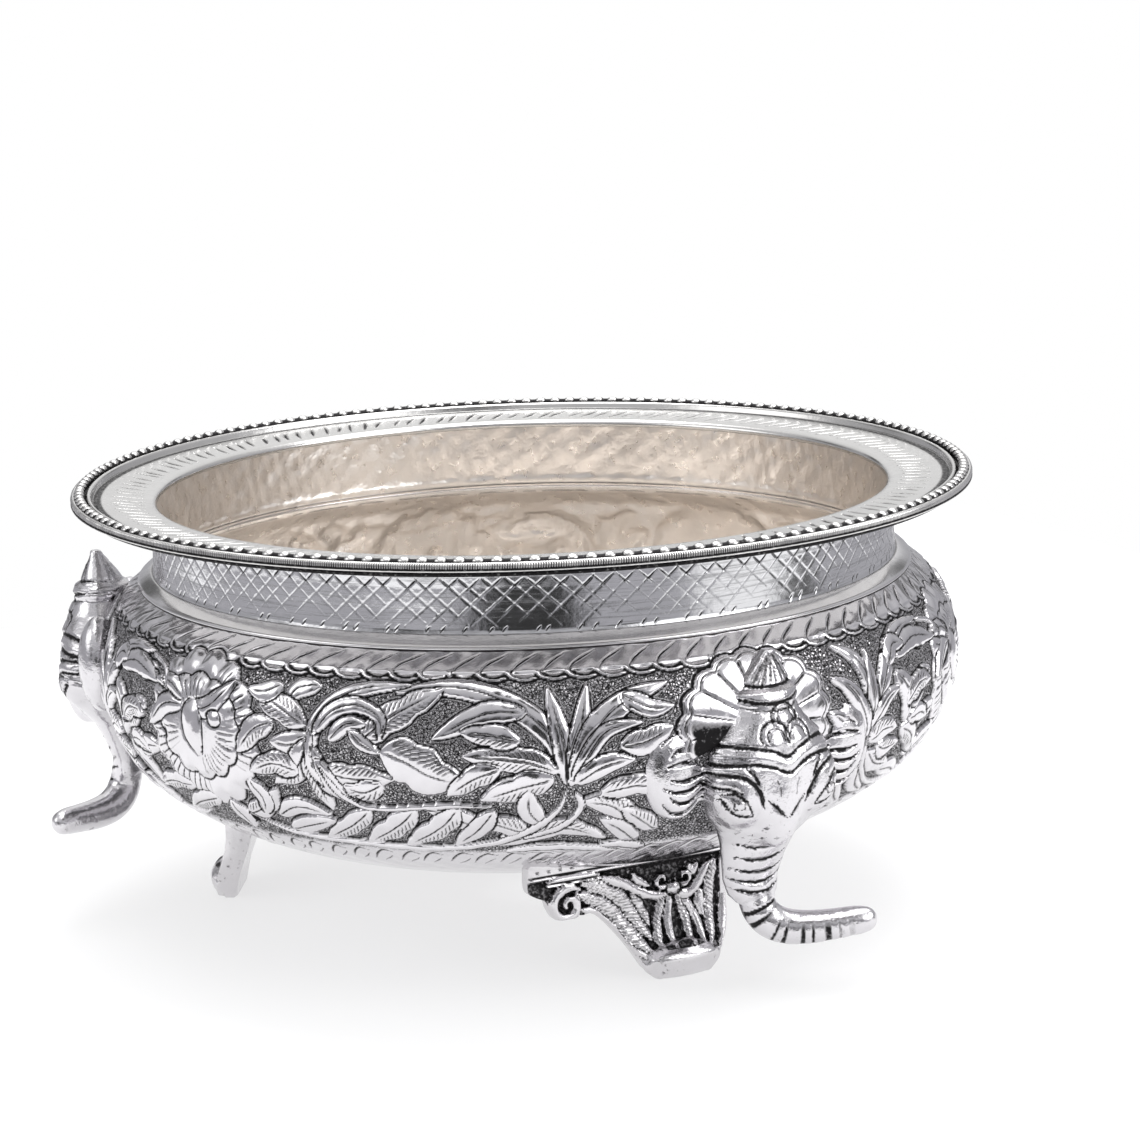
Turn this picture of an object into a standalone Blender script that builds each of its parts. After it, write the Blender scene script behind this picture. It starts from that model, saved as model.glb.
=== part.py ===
"""Three-footed silver-plated urli bowl with three elephant heads, as an assembly of separate pieces.

Metres, +Z up. The origin is on the bowl's axis at the level of the table. The first foot faces -Y,
and angles are counted from -Y towards +X.
"""

import math

import bmesh
import bpy
from mathutils import Vector

MM = 0.001
GAP = 0.3
TURN_STEPS = 60

# rim and neck, in millimetres
RIM_R = 152.5
RIM_Z = 147.3
BEAD_COUNT = 168
BEAD_R = 1.8
BEAD_RING_R = 149.6
BEAD_Z = 147.9
MOUTH_R = 124.0
NECK_R = 126.5
NECK_WALL = 1.4
NECK_TOP = 142.0
NECK_FOOT = 119.6

# belly: half section of the outer surface, from the ledge under the neck to the middle of the base
BELLY = (
    (131.6, 115.7), (138.6, 110.2), (143.4, 102.6), (146.1, 93.0), (146.2, 82.0), (143.4, 71.0),
    (137.4, 60.0), (128.4, 50.5), (117.0, 43.0), (104.0, 37.0), (91.0, 33.1), (78.0, 31.0),
)
BASE_Z = 30.8
BELLY_WALL = 1.2

# feet: turn about the axis
FOOT_TURNS = (0.0, 120.0, 240.0)
FOOT_FRONT_R = 104.0
TOE_R = 109.5

# elephant heads: turn about the axis, lift, and shift away from the axis. They are set by hand.
HEADS = ((5.3, -1.0, -5.2), (124.5, 5.5, -2.0), (242.0, 11.1, 0.0))


def clear_scene():
    for obj in list(bpy.data.objects):
        bpy.data.objects.remove(obj, do_unlink=True)
    for mesh in list(bpy.data.meshes):
        bpy.data.meshes.remove(mesh)


def new_collection(name):
    collection = bpy.data.collections.new(name)
    bpy.context.scene.collection.children.link(collection)
    return collection


def metal(name, colour, roughness):
    material = bpy.data.materials.new(name)
    material.use_nodes = True
    shader = material.node_tree.nodes["Principled BSDF"]
    shader.inputs["Base Color"].default_value = (*colour, 1.0)
    shader.inputs["Metallic"].default_value = 1.0
    shader.inputs["Roughness"].default_value = roughness
    material.diffuse_color = (*colour, 1.0)
    return material


def add_object(name, mesh, collection, material=None):
    obj = bpy.data.objects.new(name, mesh)
    collection.objects.link(obj)
    if material:
        mesh.materials.clear()
        mesh.materials.append(material)
    return obj


def smooth(mesh, angle=40.0):
    mesh.shade_smooth()
    mesh.set_sharp_from_angle(angle=math.radians(angle))


def spline(points, steps):
    """Catmull-Rom curve through the points, with this many steps to a stretch."""
    points = [Vector(p) for p in points]
    ends = [points[0] * 2 - points[1], *points, points[-1] * 2 - points[-2]]
    curve = []
    for i in range(1, len(ends) - 2):
        a, b, c, d = ends[i - 1:i + 3]
        for k in range(steps):
            t = k / steps
            curve.append(0.5 * (
                2 * b + (c - a) * t + (2 * a - 5 * b + 4 * c - d) * t ** 2
                + (3 * b - a - 3 * c + d) * t ** 3
            ))
    curve.append(points[-1])
    return curve


def turned(name, section, collection, material, closed=True):
    """Section in (radius, height), running down the outer side, turned about the axis."""
    mesh = bpy.data.meshes.new(name)
    points = [(r * MM, 0.0, z * MM) for r, z in section]
    edges = [(i, i + 1) for i in range(len(points) - 1)]
    if closed:
        edges.append((len(points) - 1, 0))
    mesh.from_pydata(points, edges, [])
    obj = add_object(name, mesh, collection, material)
    screw = obj.modifiers.new("turn", "SCREW")
    screw.axis = "Z"
    screw.steps = TURN_STEPS
    screw.render_steps = TURN_STEPS
    screw.use_merge_vertices = True
    screw.merge_threshold = 0.00001
    screw.use_smooth_shade = True
    return obj


def belly_section(offset=0.0, steps=2):
    """Outer belly points, moved out along their normals by the offset."""
    curve = spline([Vector((r, z, 0.0)) for r, z in BELLY], steps)
    moved = []
    for i, point in enumerate(curve):
        before = curve[max(i - 1, 0)]
        after = curve[min(i + 1, len(curve) - 1)]
        along = (after - before).normalized()
        normal = Vector((-along.y, along.x, 0.0))
        moved.append(point + normal * offset)
    return [(p.x, p.y) for p in moved]


def loft(name, sections):
    """Closed mesh through sections of equal count, each a list of points in millimetres."""
    work = bmesh.new()
    rings = [[work.verts.new(Vector(p) * MM) for p in section] for section in sections]
    count = len(rings[0])
    for lower, upper in zip(rings, rings[1:]):
        for k in range(count):
            n = (k + 1) % count
            work.faces.new((lower[k], lower[n], upper[n], upper[k]))
    work.faces.new(rings[0][::-1])
    work.faces.new(rings[-1])
    bmesh.ops.recalc_face_normals(work, faces=work.faces)
    mesh = bpy.data.meshes.new(name)
    work.to_mesh(mesh)
    work.free()
    return mesh


def ellipse(centre, half_x, half_y, count=14):
    x, y, z = centre
    return [
        (x + half_x * math.cos(2 * math.pi * k / count), y + half_y * math.sin(2 * math.pi * k / count), z)
        for k in range(count)
    ]


def ball(name, centre, half, tilt=0.0, rings=5, segments=8):
    """Ellipsoid with these half sizes, tilted about its local Y axis."""
    work = bmesh.new()
    bmesh.ops.create_uvsphere(work, u_segments=segments, v_segments=rings, radius=MM)
    turn = math.radians(tilt)
    for vert in work.verts:
        x, y, z = vert.co.x * half[0], vert.co.y * half[1], vert.co.z * half[2]
        vert.co = Vector((
            x * math.cos(turn) + z * math.sin(turn) + centre[0] * MM,
            y + centre[1] * MM,
            z * math.cos(turn) - x * math.sin(turn) + centre[2] * MM,
        ))
    mesh = bpy.data.meshes.new(name)
    work.to_mesh(mesh)
    work.free()
    return mesh


def tube(name, points, radii, resolution=2):
    """Round tube through the points, with a radius at each, made from a curve."""
    curve = bpy.data.curves.new(name, "CURVE")
    curve.dimensions = "3D"
    curve.bevel_depth = MM
    curve.bevel_resolution = resolution
    curve.use_fill_caps = True
    line = curve.splines.new("POLY")
    line.points.add(len(points) - 1)
    for target, place, radius in zip(line.points, points, radii):
        target.co = (*(Vector(place) * MM), 1.0)
        target.radius = radius
    holder = bpy.data.objects.new(name, curve)
    bpy.context.scene.collection.objects.link(holder)
    graph = bpy.context.evaluated_depsgraph_get()
    mesh = bpy.data.meshes.new_from_object(holder.evaluated_get(graph))
    bpy.data.objects.remove(holder)
    work = bmesh.new()
    work.from_mesh(mesh)
    bmesh.ops.remove_doubles(work, verts=work.verts, dist=0.000001)
    bmesh.ops.recalc_face_normals(work, faces=work.faces)
    work.to_mesh(mesh)
    work.free()
    return mesh


def bar(name, lower, upper, bevel=0.8):
    """Box between two corners, with its edges rounded."""
    work = bmesh.new()
    bmesh.ops.create_cube(work, size=1.0)
    for vert in work.verts:
        vert.co = Vector([
            (upper[i] if vert.co[i] > 0 else lower[i]) * MM for i in range(3)
        ])
    bmesh.ops.bevel(
        work, geom=work.edges[:], offset=bevel * MM, segments=1, affect="EDGES", profile=0.5
    )
    mesh = bpy.data.meshes.new(name)
    work.to_mesh(mesh)
    work.free()
    return mesh


def disc(name, centre, radius, front, back, count=14):
    """Short cylinder with its axis along Y, from its front to its back."""
    sections = []
    for y, scale in ((-front, 0.8), (-front + 0.8, 1.0), (-back, 1.0)):
        sections.append([
            (
                centre[0] + radius * scale * math.cos(2 * math.pi * k / count),
                y,
                centre[1] + radius * scale * math.sin(2 * math.pi * k / count),
            )
            for k in range(count)
        ])
    return loft(name, sections)


def united(name, meshes, cutters):
    """One mesh from the Boolean union of several."""
    base = add_object(name, meshes[0], cutters)
    helpers = [base]
    for i, mesh in enumerate(meshes[1:]):
        helper = add_object(f"{name}_{i}", mesh, cutters)
        helpers.append(helper)
        join = base.modifiers.new(f"join_{i}", "BOOLEAN")
        join.operation = "UNION"
        join.solver = "EXACT"
        join.object = helper
    graph = bpy.context.evaluated_depsgraph_get()
    mesh = bpy.data.meshes.new_from_object(base.evaluated_get(graph))
    for helper in helpers:
        bpy.data.objects.remove(helper)
    return mesh


def cut(obj, cutter):
    modifier = obj.modifiers.new(f"cut_{cutter.name}", "BOOLEAN")
    modifier.operation = "DIFFERENCE"
    modifier.solver = "EXACT"
    modifier.object = cutter


def hide_cutter(obj):
    obj.hide_render = True
    obj.display_type = "WIRE"


def make_bowl(parts):
    silver = metal("plated_belly", (0.80, 0.79, 0.78), 0.24)
    outer = belly_section() + [(40.0, BASE_Z), (0.0, BASE_Z)]
    inner = belly_section(-BELLY_WALL, 1)[::-1]
    section = outer + [(0.0, BASE_Z + BELLY_WALL), (40.0, BASE_Z + BELLY_WALL)] + inner
    body = turned("bowl_body", section, parts, silver, closed=False)
    close_section(body)


def close_section(obj):
    """Joins the last point of an open section to its first, for a section that meets the axis."""
    count = len(obj.data.vertices)
    obj.data.edges.add(1)
    obj.data.edges[-1].vertices = (count - 1, 0)


def make_neck(parts):
    silver = metal("plated_neck", (0.78, 0.78, 0.79), 0.2)
    inner = NECK_R - NECK_WALL
    section = (
        (NECK_R + 0.3, NECK_TOP), (NECK_R - 0.2, 134.0), (NECK_R - 0.3, 127.0), (NECK_R + 0.2, NECK_FOOT),
        (inner, NECK_FOOT), (inner - 0.2, 127.0), (inner, NECK_TOP),
    )
    turned("neck_collar", section, parts, silver)


def make_moulding(parts):
    silver = metal("plated_ledge", (0.80, 0.79, 0.78), 0.2)
    section = (
        (NECK_R + 0.5, 119.3), (129.4, 118.3), (131.2, 117.1), (131.7, 116.5), (131.5, 116.05),
        (130.2, 116.05), (125.1, 118.0), (125.1, 119.3),
    )
    turned("neck_moulding", section, parts, silver)


def make_flange(parts):
    silver = metal("plated_flange", (0.82, 0.81, 0.79), 0.22)
    section = (
        (146.4, 147.7), (147.2, 147.3), (147.4, 145.4), (147.7, 144.3), (149.0, 144.2), (149.0, 142.6),
        (146.8, 142.2), (146.2, 143.6), (142.6, 144.0), (129.0, 143.2), (126.9, 142.4), (124.8, 142.3),
        (124.8, 141.3), (MOUTH_R, 141.5), (MOUTH_R, 142.7), (124.9, 143.9), (127.0, 144.4),
        (143.5, 145.4), (144.6, 145.0), (145.4, 147.0),
    )
    turned("rim_flange", section, parts, silver)


def make_lip(parts):
    silver = metal("plated_lip", (0.84, 0.83, 0.81), 0.24)
    section = (
        (RIM_R - 0.4, RIM_Z), (RIM_R, RIM_Z - 0.5), (RIM_R, 145.2), (151.8, 144.6), (147.9, 144.6),
        (147.9, 145.75), (151.4, 145.75), (151.7, RIM_Z - 0.1),
    )
    turned("rim_lip", section, parts, silver)


def make_beads(parts):
    silver = metal("plated_beads", (0.84, 0.83, 0.81), 0.18)
    curve = bpy.data.curves.new("rim_beads", "CURVE")
    curve.dimensions = "3D"
    curve.bevel_depth = BEAD_R * MM
    curve.bevel_resolution = 0
    line = curve.splines.new("POLY")
    line.points.add(BEAD_COUNT * 2 - 1)
    line.use_cyclic_u = True
    for k, target in enumerate(line.points):
        angle = math.pi * k / BEAD_COUNT
        x = BEAD_RING_R * math.sin(angle) * MM
        y = -BEAD_RING_R * math.cos(angle) * MM
        target.co = (x, y, BEAD_Z * MM, 1.0)
        target.radius = 1.0 if k % 2 == 0 else 0.42
    curve.materials.append(silver)
    obj = bpy.data.objects.new("rim_beads", curve)
    parts.objects.link(obj)


def belly_cutter(cutters):
    """The belly and all inside it, grown by the gap, to give heads and feet a seat on the bowl."""
    section = [(0.0, 124.0), (122.0, 124.0), (128.6, 119.4)] + belly_section(GAP)
    section += [(40.0, BASE_Z - GAP), (0.0, BASE_Z - GAP)]
    cutter = turned("belly_envelope", section, cutters, None, closed=False)
    hide_cutter(cutter)
    return cutter


# Heads are shaped facing -Y: x across, -y out from the bowl's axis, z up.
HEAD_STATIONS = (
    # height, sideways, out, half width, half depth
    (112.3, 2.6, 147.6, 0.6, 0.5), (108.4, 1.2, 147.0, 4.0, 2.9), (104.2, 0.2, 146.6, 7.2, 4.8),
    (101.0, -0.4, 146.4, 9.2, 6.0), (96.6, -0.4, 147.0, 10.8, 8.0), (91.6, -0.3, 147.6, 14.0, 10.4),
    (85.5, 0.0, 148.4, 19.6, 12.0), (78.0, 0.2, 149.0, 22.8, 12.6), (70.0, 0.3, 148.6, 23.0, 12.2),
    (62.5, 0.3, 147.6, 20.2, 11.0), (57.0, 0.3, 146.4, 16.4, 9.2), (52.5, -0.2, 144.6, 12.4, 7.0),
    (46.0, -0.6, 143.0, 10.0, 5.4), (39.0, -0.8, 141.4, 8.9, 4.8), (34.0, -0.3, 141.2, 8.2, 4.8),
)
TRUNK = (
    # sideways, out, height, radius
    (-0.6, 141.4, 37.0, 4.4), (0.2, 142.2, 30.5, 5.4), (2.8, 144.0, 25.2, 5.6), (7.4, 147.0, 22.4, 5.3),
    (13.6, 150.8, 21.8, 4.9), (20.4, 154.6, 22.4, 4.5), (27.2, 158.0, 23.2, 4.2), (29.6, 159.3, 23.4, 3.2),
)


def head_core():
    sections = [ellipse((s, -r, z), a, b) for z, s, r, a, b in HEAD_STATIONS]
    return loft("head_core", sections)


def head_trunk():
    curve = spline([Vector((s, -r, z)) for s, r, z, _ in TRUNK], 2)
    radii = spline([Vector((t[3], 0.0, 0.0)) for t in TRUNK], 2)
    return tube("head_trunk", curve, [r.x for r in radii])


def ear_ribs(side):
    """Three fleshy ribs that overlap like a folded ear, on one side of the head."""
    ribs = []
    for k, (x, z, tall) in enumerate(((25.0, 77.0, 17.0), (31.0, 78.0, 15.5), (37.0, 78.0, 12.0))):
        out = 144.6 - 1.9 * k
        ribs.append(ball("ear_rib", (side * x, -out, z), (6.4, 4.6, tall), side * 8.0))
    return ribs


def head_details():
    details = []
    ring = [ellipse((-0.4, -146.8, z), a, b) for z, a, b in (
        (101.4, 9.6, 6.4), (100.2, 11.2, 8.4), (98.0, 11.8, 9.2), (96.2, 11.0, 8.6),
    )]
    details.append(loft("crown_ring", ring))
    for x, z in ((-5.2, 91.6), (5.0, 91.6), (0.0, 86.4)):
        details.append(ball("jewel", (x, -156.0, z), (5.2, 3.0, 5.0)))
    for side in (-1, 1):
        details.append(ball("eye", (side * 11.5, -158.6, 69.0), (5.6, 2.4, 3.6), side * 14.0))
        brow = [(side * x, -r, z) for x, r, z in (
            (1.6, 161.0, 77.4), (7.0, 160.4, 79.6), (13.4, 158.4, 81.2), (19.2, 154.0, 81.6),
        )]
        details.append(tube("brow", brow, (1.2, 1.3, 1.3, 1.1), resolution=1))
    return details


def make_heads(parts, cutters, envelope):
    silver = metal("plated_head", (0.80, 0.79, 0.79), 0.26)
    pieces = [head_core(), head_trunk(), *head_details(), *ear_ribs(-1), *ear_ribs(1)]
    shape = united("head_shape", pieces, cutters)
    shape.materials.clear()
    shape.materials.append(silver)
    smooth(shape)
    for number, (turn, lift, out) in enumerate(HEADS, 1):
        obj = bpy.data.objects.new(f"elephant_head_{number}", shape)
        parts.objects.link(obj)
        angle = math.radians(turn)
        obj.rotation_euler = (0.0, 0.0, angle)
        obj.location = (out * math.sin(angle) * MM, -out * math.cos(angle) * MM, lift * MM)
        cut(obj, envelope)


# Feet are shaped facing -Y as well, with one long wing at -X and a short side at +X.
# Rows of the bracket: height, wing end, short side, front and back radius.
BRACKET = (
    (43.0, -50.5, 19.6, 105.2, 98.5), (34.0, -50.0, 19.6, 104.6, 98.5), (31.5, -45.0, 19.8, 104.2, 98.5),
    (27.0, -34.0, 19.8, 104.0, 98.5), (23.4, -28.0, 19.6, 104.2, 98.8), (18.7, -21.6, 19.2, 105.0, 99.4),
    (14.0, -18.0, 18.6, 106.6, 101.0), (9.3, -14.4, 16.4, 109.0, 103.0), (5.0, -13.2, 13.9, 111.4, 104.5),
)
ROPES = (
    ((-30.0, 29.5), (-23.0, 25.5), (-17.6, 19.5), (-13.4, 13.5)),
    ((-19.0, 32.0), (-14.6, 25.5), (-11.0, 18.5), (-8.4, 12.5)),
    ((17.2, 31.5), (16.6, 25.0), (15.4, 17.5), (13.6, 12.5)),
    ((12.4, 31.5), (11.6, 25.0), (10.4, 17.5), (9.0, 12.5)),
)


def bracket():
    sections = []
    for z, wing, side, front, back in BRACKET:
        sections.append([
            (wing, -back, z), (side, -back, z), (side, -front + 1.2, z), (side - 1.2, -front, z),
            (wing + 1.2, -front, z), (wing, -front + 1.2, z),
        ])
    return loft("bracket", sections)


def brace():
    """Solid wedge behind the plate that runs from the toe up to the underside of the bowl."""
    sections = []
    rows = ((43.0, -9.0, 19.2, 102.0, 90.5), (18.0, -8.0, 18.8, 103.0, 98.4), (3.0, -9.0, 12.8, 108.0, 104.4))
    for z, left, right, front, back in rows:
        sections.append([
            (left, -back, z), (right, -back, z), (right, -front, z), (left, -front, z),
        ])
    return loft("brace", sections)


def rope(points):
    path = []
    for x, z in points:
        front = 104.4 if z > 22.0 else 104.4 + (22.0 - z) * 0.33
        path.append((x, -front, z))
    return tube("rope", path, [1.5] * len(path), resolution=1)


def foot_pieces():
    pieces = [bracket(), brace()]
    pieces.append(bar("moulding_high", (-51.0, -107.0, 34.6), (19.8, -99.0, 44.0)))
    pieces.append(bar("moulding_low", (-49.0, -106.0, 32.2), (19.7, -99.0, 34.8)))
    pieces.append(disc("volute", (-37.2, 27.6), 6.8, 105.0, 98.8))
    pieces.append(disc("volute_eye", (-37.2, 27.2), 2.8, 106.4, 100.0, 10))
    for side in (-1, 1):
        pieces.append(disc("small_volute", (side * 3.2, 29.0), 2.4, 106.0, 100.0, 10))
    for points in ROPES:
        pieces.append(rope(points))
    pieces.append(ball("leaf", (0.0, -104.8, 19.0), (4.6, 2.6, 9.6)))
    pieces.append(ball("toe", (0.0, -TOE_R, 5.0), (14.0, 5.0, 6.8), rings=8, segments=14))
    pieces.append(bar("toe_pad", (-11.0, -112.4, 0.0), (11.0, -104.6, 5.0), 0.9))
    return pieces


def make_feet(parts, cutters, envelope):
    silver = metal("plated_foot", (0.78, 0.77, 0.77), 0.28)
    shape = united("foot_shape", foot_pieces(), cutters)
    shape.materials.clear()
    shape.materials.append(silver)
    smooth(shape)
    for number, turn in enumerate(FOOT_TURNS, 1):
        obj = bpy.data.objects.new(f"foot_{number}", shape)
        parts.objects.link(obj)
        obj.rotation_euler = (0.0, 0.0, math.radians(turn))
        cut(obj, envelope)
        cut(obj, table_cutter(cutters))


def table_cutter(cutters):
    """Everything below the table, to leave the feet flat underneath."""
    known = bpy.data.objects.get("below_table")
    if known:
        return known
    work = bmesh.new()
    bmesh.ops.create_cube(work, size=1.0)
    for vert in work.verts:
        vert.co = Vector((vert.co.x * 0.4, vert.co.y * 0.4, -0.04 if vert.co.z < 0 else 0.0))
    mesh = bpy.data.meshes.new("below_table")
    work.to_mesh(mesh)
    work.free()
    obj = add_object("below_table", mesh, cutters)
    hide_cutter(obj)
    return obj


def main():
    clear_scene()
    parts = new_collection("urli_bowl")
    cutters = new_collection("cutters")
    make_bowl(parts)
    make_neck(parts)
    make_moulding(parts)
    make_flange(parts)
    make_lip(parts)
    make_beads(parts)
    envelope = belly_cutter(cutters)
    make_heads(parts, cutters, envelope)
    make_feet(parts, cutters, envelope)


main()
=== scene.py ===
"""Looks of the three-footed silver-plated urli bowl: relief, engraving, castings, metal and light.

Lengths in the functions are millimetres, and meshes are written in metres in the frame of the CAD.
Angles are counted from -Y towards +X. Around the belly, u is the distance along the circle of
radius 145 mm, and v is the distance down the belly's curve from the ledge.
"""

import math

import bpy
import numpy as np
from mathutils import Matrix, Vector


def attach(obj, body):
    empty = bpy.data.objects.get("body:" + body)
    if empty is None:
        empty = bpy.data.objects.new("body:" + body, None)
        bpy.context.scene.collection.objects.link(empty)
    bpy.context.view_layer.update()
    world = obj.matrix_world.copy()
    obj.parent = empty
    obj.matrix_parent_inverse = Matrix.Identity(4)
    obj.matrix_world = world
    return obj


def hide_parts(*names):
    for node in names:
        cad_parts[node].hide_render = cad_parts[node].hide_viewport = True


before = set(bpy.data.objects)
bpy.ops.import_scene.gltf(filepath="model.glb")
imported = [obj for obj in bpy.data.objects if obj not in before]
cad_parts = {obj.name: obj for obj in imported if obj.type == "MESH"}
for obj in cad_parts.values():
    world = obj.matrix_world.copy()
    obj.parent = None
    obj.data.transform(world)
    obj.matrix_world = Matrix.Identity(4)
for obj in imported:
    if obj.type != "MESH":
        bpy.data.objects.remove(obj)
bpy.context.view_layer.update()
SEED = 7

# The same design sizes as the CAD, in mm. BELLY is the sheet's outside as (radius, height).
BELLY = (
    (131.6, 115.7), (138.6, 110.2), (143.4, 102.6), (146.1, 93.0), (146.2, 82.0), (143.4, 71.0),
    (137.4, 60.0), (128.4, 50.5), (117.0, 43.0), (104.0, 37.0), (91.0, 33.1), (78.0, 31.0),
)
BASE_Z = 30.8
WALL = 1.4
AROUND = 304.0  # length of a third of the belly's circle, over which the relief repeats
RELIEF_STEP = 0.45
GROUND_DEPTH = 0.75
HEADS = ((5.3, -1.0, -5.2), (124.5, 5.5, -2.0), (242.0, 11.1, 0.0))  # turn, lift, distance out
FOOT_TURNS = (0.0, 120.0, 240.0)
PATTERN_TURN = 4.8
BASE_RINGS = (60.0, 40.0, 20.0, 5.0)
NECK_R = 126.5
FLANGE_R = 140.0  # middle of the hatched band
BEAD_R, BEAD_Z = 149.65, 147.55
BEAD_COUNT = 168
SEAT_DEPTH = 0.7  # how far the castings go into the belly
# colour of all dark values: oxide in hollows and engraving, and painted shade and painted dark reflections on the rim,
# ledge, beads and shell
OXIDE_AND_SHADE = (0.022, 0.021, 0.022)


# ---------------------------------------------------------------- curves and charts

def curve(points, steps=6):
    """Catmull-Rom curve through the points."""
    p = np.array(points, float)
    ends = np.vstack([2 * p[0] - p[1], p, 2 * p[-1] - p[-2]])
    t = (np.arange(steps) / steps)[:, None]
    parts = [
        0.5 * (2 * b + (c - a) * t + (2 * a - 5 * b + 4 * c - d) * t ** 2 + (3 * b - a - 3 * c + d) * t ** 3)
        for a, b, c, d in zip(ends, ends[1:], ends[2:], ends[3:])
    ]
    return np.vstack([*parts, p[-1:]])


def nearest(x, y, line):
    """Distance to a polyline, the side, the fraction along it, and its length."""
    spans = np.diff(line, axis=0)
    lengths = np.maximum(np.hypot(spans[:, 0], spans[:, 1]), 1e-9)
    starts = np.concatenate([[0.0], np.cumsum(lengths)])
    best = np.full(x.shape, 1e9)
    side = np.zeros(x.shape)
    along = np.zeros(x.shape)
    for (x0, y0), (dx, dy), length, start in zip(line, spans, lengths, starts):
        dx, dy = dx / length, dy / length
        px, py = x - x0, y - y0
        t = np.clip(px * dx + py * dy, 0.0, length)
        d = np.hypot(px - t * dx, py - t * dy)
        near = d < best
        best = np.where(near, d, best)
        side = np.where(near, np.sign(px * dy - py * dx), side)
        along = np.where(near, start + t, along)
    return best, side, along / starts[-1], starts[-1]


def soft(x, low, high):
    """Smooth step from 0 at low to 1 at high."""
    t = np.clip((x - low) / (high - low), 0.0, 1.0)
    return t * t * (3.0 - 2.0 * t)


def fade(x, low, high):
    """Smooth step from 1 at low to 0 at high."""
    return 1.0 - soft(x, low, high)


def dome(k, edge):
    """Rounded section: 1 in the middle, where k is 0, and the edge's level where k is 1."""
    return edge + (1.0 - edge) * np.sqrt(1.0 - 0.98 * k ** 2)


class Chart:
    """Relief drawn on a flat grid: height in mm, dark oxide (with the shell's painted dark reflection) and punched
    ground, each per grid point.
    """

    def __init__(self, low, high, step, wrap=False):
        self.low, self.step, self.wrap = low, step, wrap
        self.nx = int(round((high[0] - low[0]) / step)) + (0 if wrap else 1)
        self.ny = int(round((high[1] - low[1]) / step)) + 1
        self.high = np.zeros((self.ny, self.nx))
        self.dark = np.zeros((self.ny, self.nx))
        self.ground = np.zeros((self.ny, self.nx))

    def patch(self, low, high):
        """Index of the grid points in a box, with their x and y."""
        ix, iy = (
            np.arange(math.floor((low[i] - self.low[i]) / self.step), math.ceil((high[i] - self.low[i]) / self.step))
            for i in (0, 1)
        )
        iy = iy[(iy >= 0) & (iy < self.ny)]
        if not self.wrap:
            ix = ix[(ix >= 0) & (ix < self.nx)]
        x, y = np.meshgrid(self.low[0] + ix * self.step, self.low[1] + iy * self.step)
        return np.ix_(iy, ix % self.nx), x, y

    def cells(self, x, y):
        """Row and column of the grid point nearest to each x and y."""
        row = np.clip(((y - self.low[1]) / self.step).round().astype(int), 0, self.ny - 1)
        column = np.clip(((x - self.low[0]) / self.step).round().astype(int), 0, self.nx - 1)
        return row, column

    def around(self, line, pad):
        return self.patch(line.min(axis=0) - pad, line.max(axis=0) + pad)

    def put(self, where, inside, high, dark, rim):
        """Lay a shape over what is there, with a dark outline just outside it."""
        self.high[where] = np.where(inside, high, self.high[where] - 0.25 * rim)
        self.dark[where] = np.where(inside, dark, np.maximum(self.dark[where], rim))
        self.ground[where] = np.where(inside, 0.0, self.ground[where] * (1.0 - rim))

    def leaf(self, points, wide, high, ticks, rib=0.9):
        """Pointed leaf with a midrib. Ticks mark neither side (0), one (1 or -1) or both (2)."""
        line = curve(points)
        where, x, y = self.around(line, wide + 1.5)
        d, side, t, length = nearest(x, y, line)
        w = wide * np.clip(t, 0, 1) ** 0.55 * np.clip(1 - t, 0, 1) ** 0.75 / 0.41 * 0.62 + 1e-6
        if ticks:
            w = w * (0.9 + 0.22 * np.abs(np.sin(t * length / 3.4 + 0.35 * side)))
        inside = d < w
        k = np.clip(d / w, 0.0, 1.0)
        top = -0.6 + (high + 0.6) * dome(k, 0.42) * soft(t, -0.2, 0.25)
        marks = rib * fade(d, 0.16, 0.42) * soft(t, 0.02, 0.12) * fade(t, 0.7, 0.92)
        if ticks:
            phase = (t * length - 1.1 * d) / 1.9
            wave = np.abs(phase - np.round(phase)) * 1.9
            reach = soft(k, 0.22, 0.32) * fade(k, 0.78, 0.92) * soft(t, 0.1, 0.2) * fade(t, 0.72, 0.86)
            sides = (side * ticks >= 0) if abs(ticks) < 2 else np.ones(side.shape, bool)
            marks = np.maximum(marks, fade(wave, 0.2, 0.5) * reach * sides * 0.85)
        rim = np.where(inside, 0.0, fade(d - w, 0.45, 1.0)) * (w > 0.25)
        self.put(where, inside, top - 0.22 * marks, marks, rim)

    def ridge(self, points, wide, high=0.7, base=-0.6, rim_width=0.5, taper=0.15):
        """Rounded rib that narrows at both ends."""
        line = curve(points)
        where, x, y = self.around(line, wide + 1.5)
        d, _, t, _ = nearest(x, y, line)
        w = wide * (taper + (1 - taper) * soft(t, 0.0, 0.12)) * (taper + (1 - taper) * fade(t, 0.8, 1.0))
        inside = d < w
        k = np.clip(d / w, 0.0, 1.0)
        top = base + (high - base) * dome(k, 0.45)
        rim = np.where(inside, 0.0, fade(d - w, rim_width * 0.5, rim_width * 1.2))
        self.put(where, inside, top, 0.0, rim)

    def groove(self, points, wide, deep, dark, ends):
        """Engraved line, narrower at its ends."""
        line = curve(points)
        where, x, y = self.around(line, wide + 0.6)
        d, _, t, _ = nearest(x, y, line)
        w = wide * (0.25 + 0.75 * soft(t, 0.0, ends)) * (0.25 + 0.75 * fade(t, 1.0 - ends, 1.0))
        k = fade(d, w * 0.35, w)
        self.high[where] -= deep * k
        self.dark[where] = np.maximum(self.dark[where], dark * k)

    def blob(self, centre, half, high, base=-0.6):
        c = np.array(centre)
        where, x, y = self.patch(c - np.array(half) - 1.5, c + np.array(half) + 1.5)
        k = np.hypot((x - c[0]) / half[0], (y - c[1]) / half[1])
        inside = k < 1.0
        top = base + (high - base) * dome(np.clip(k, 0, 1), 0.4)
        rim = np.where(inside, 0.0, fade((k - 1) * min(half), 0.45, 1.0))
        self.put(where, inside, top, 0.0, rim)

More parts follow.
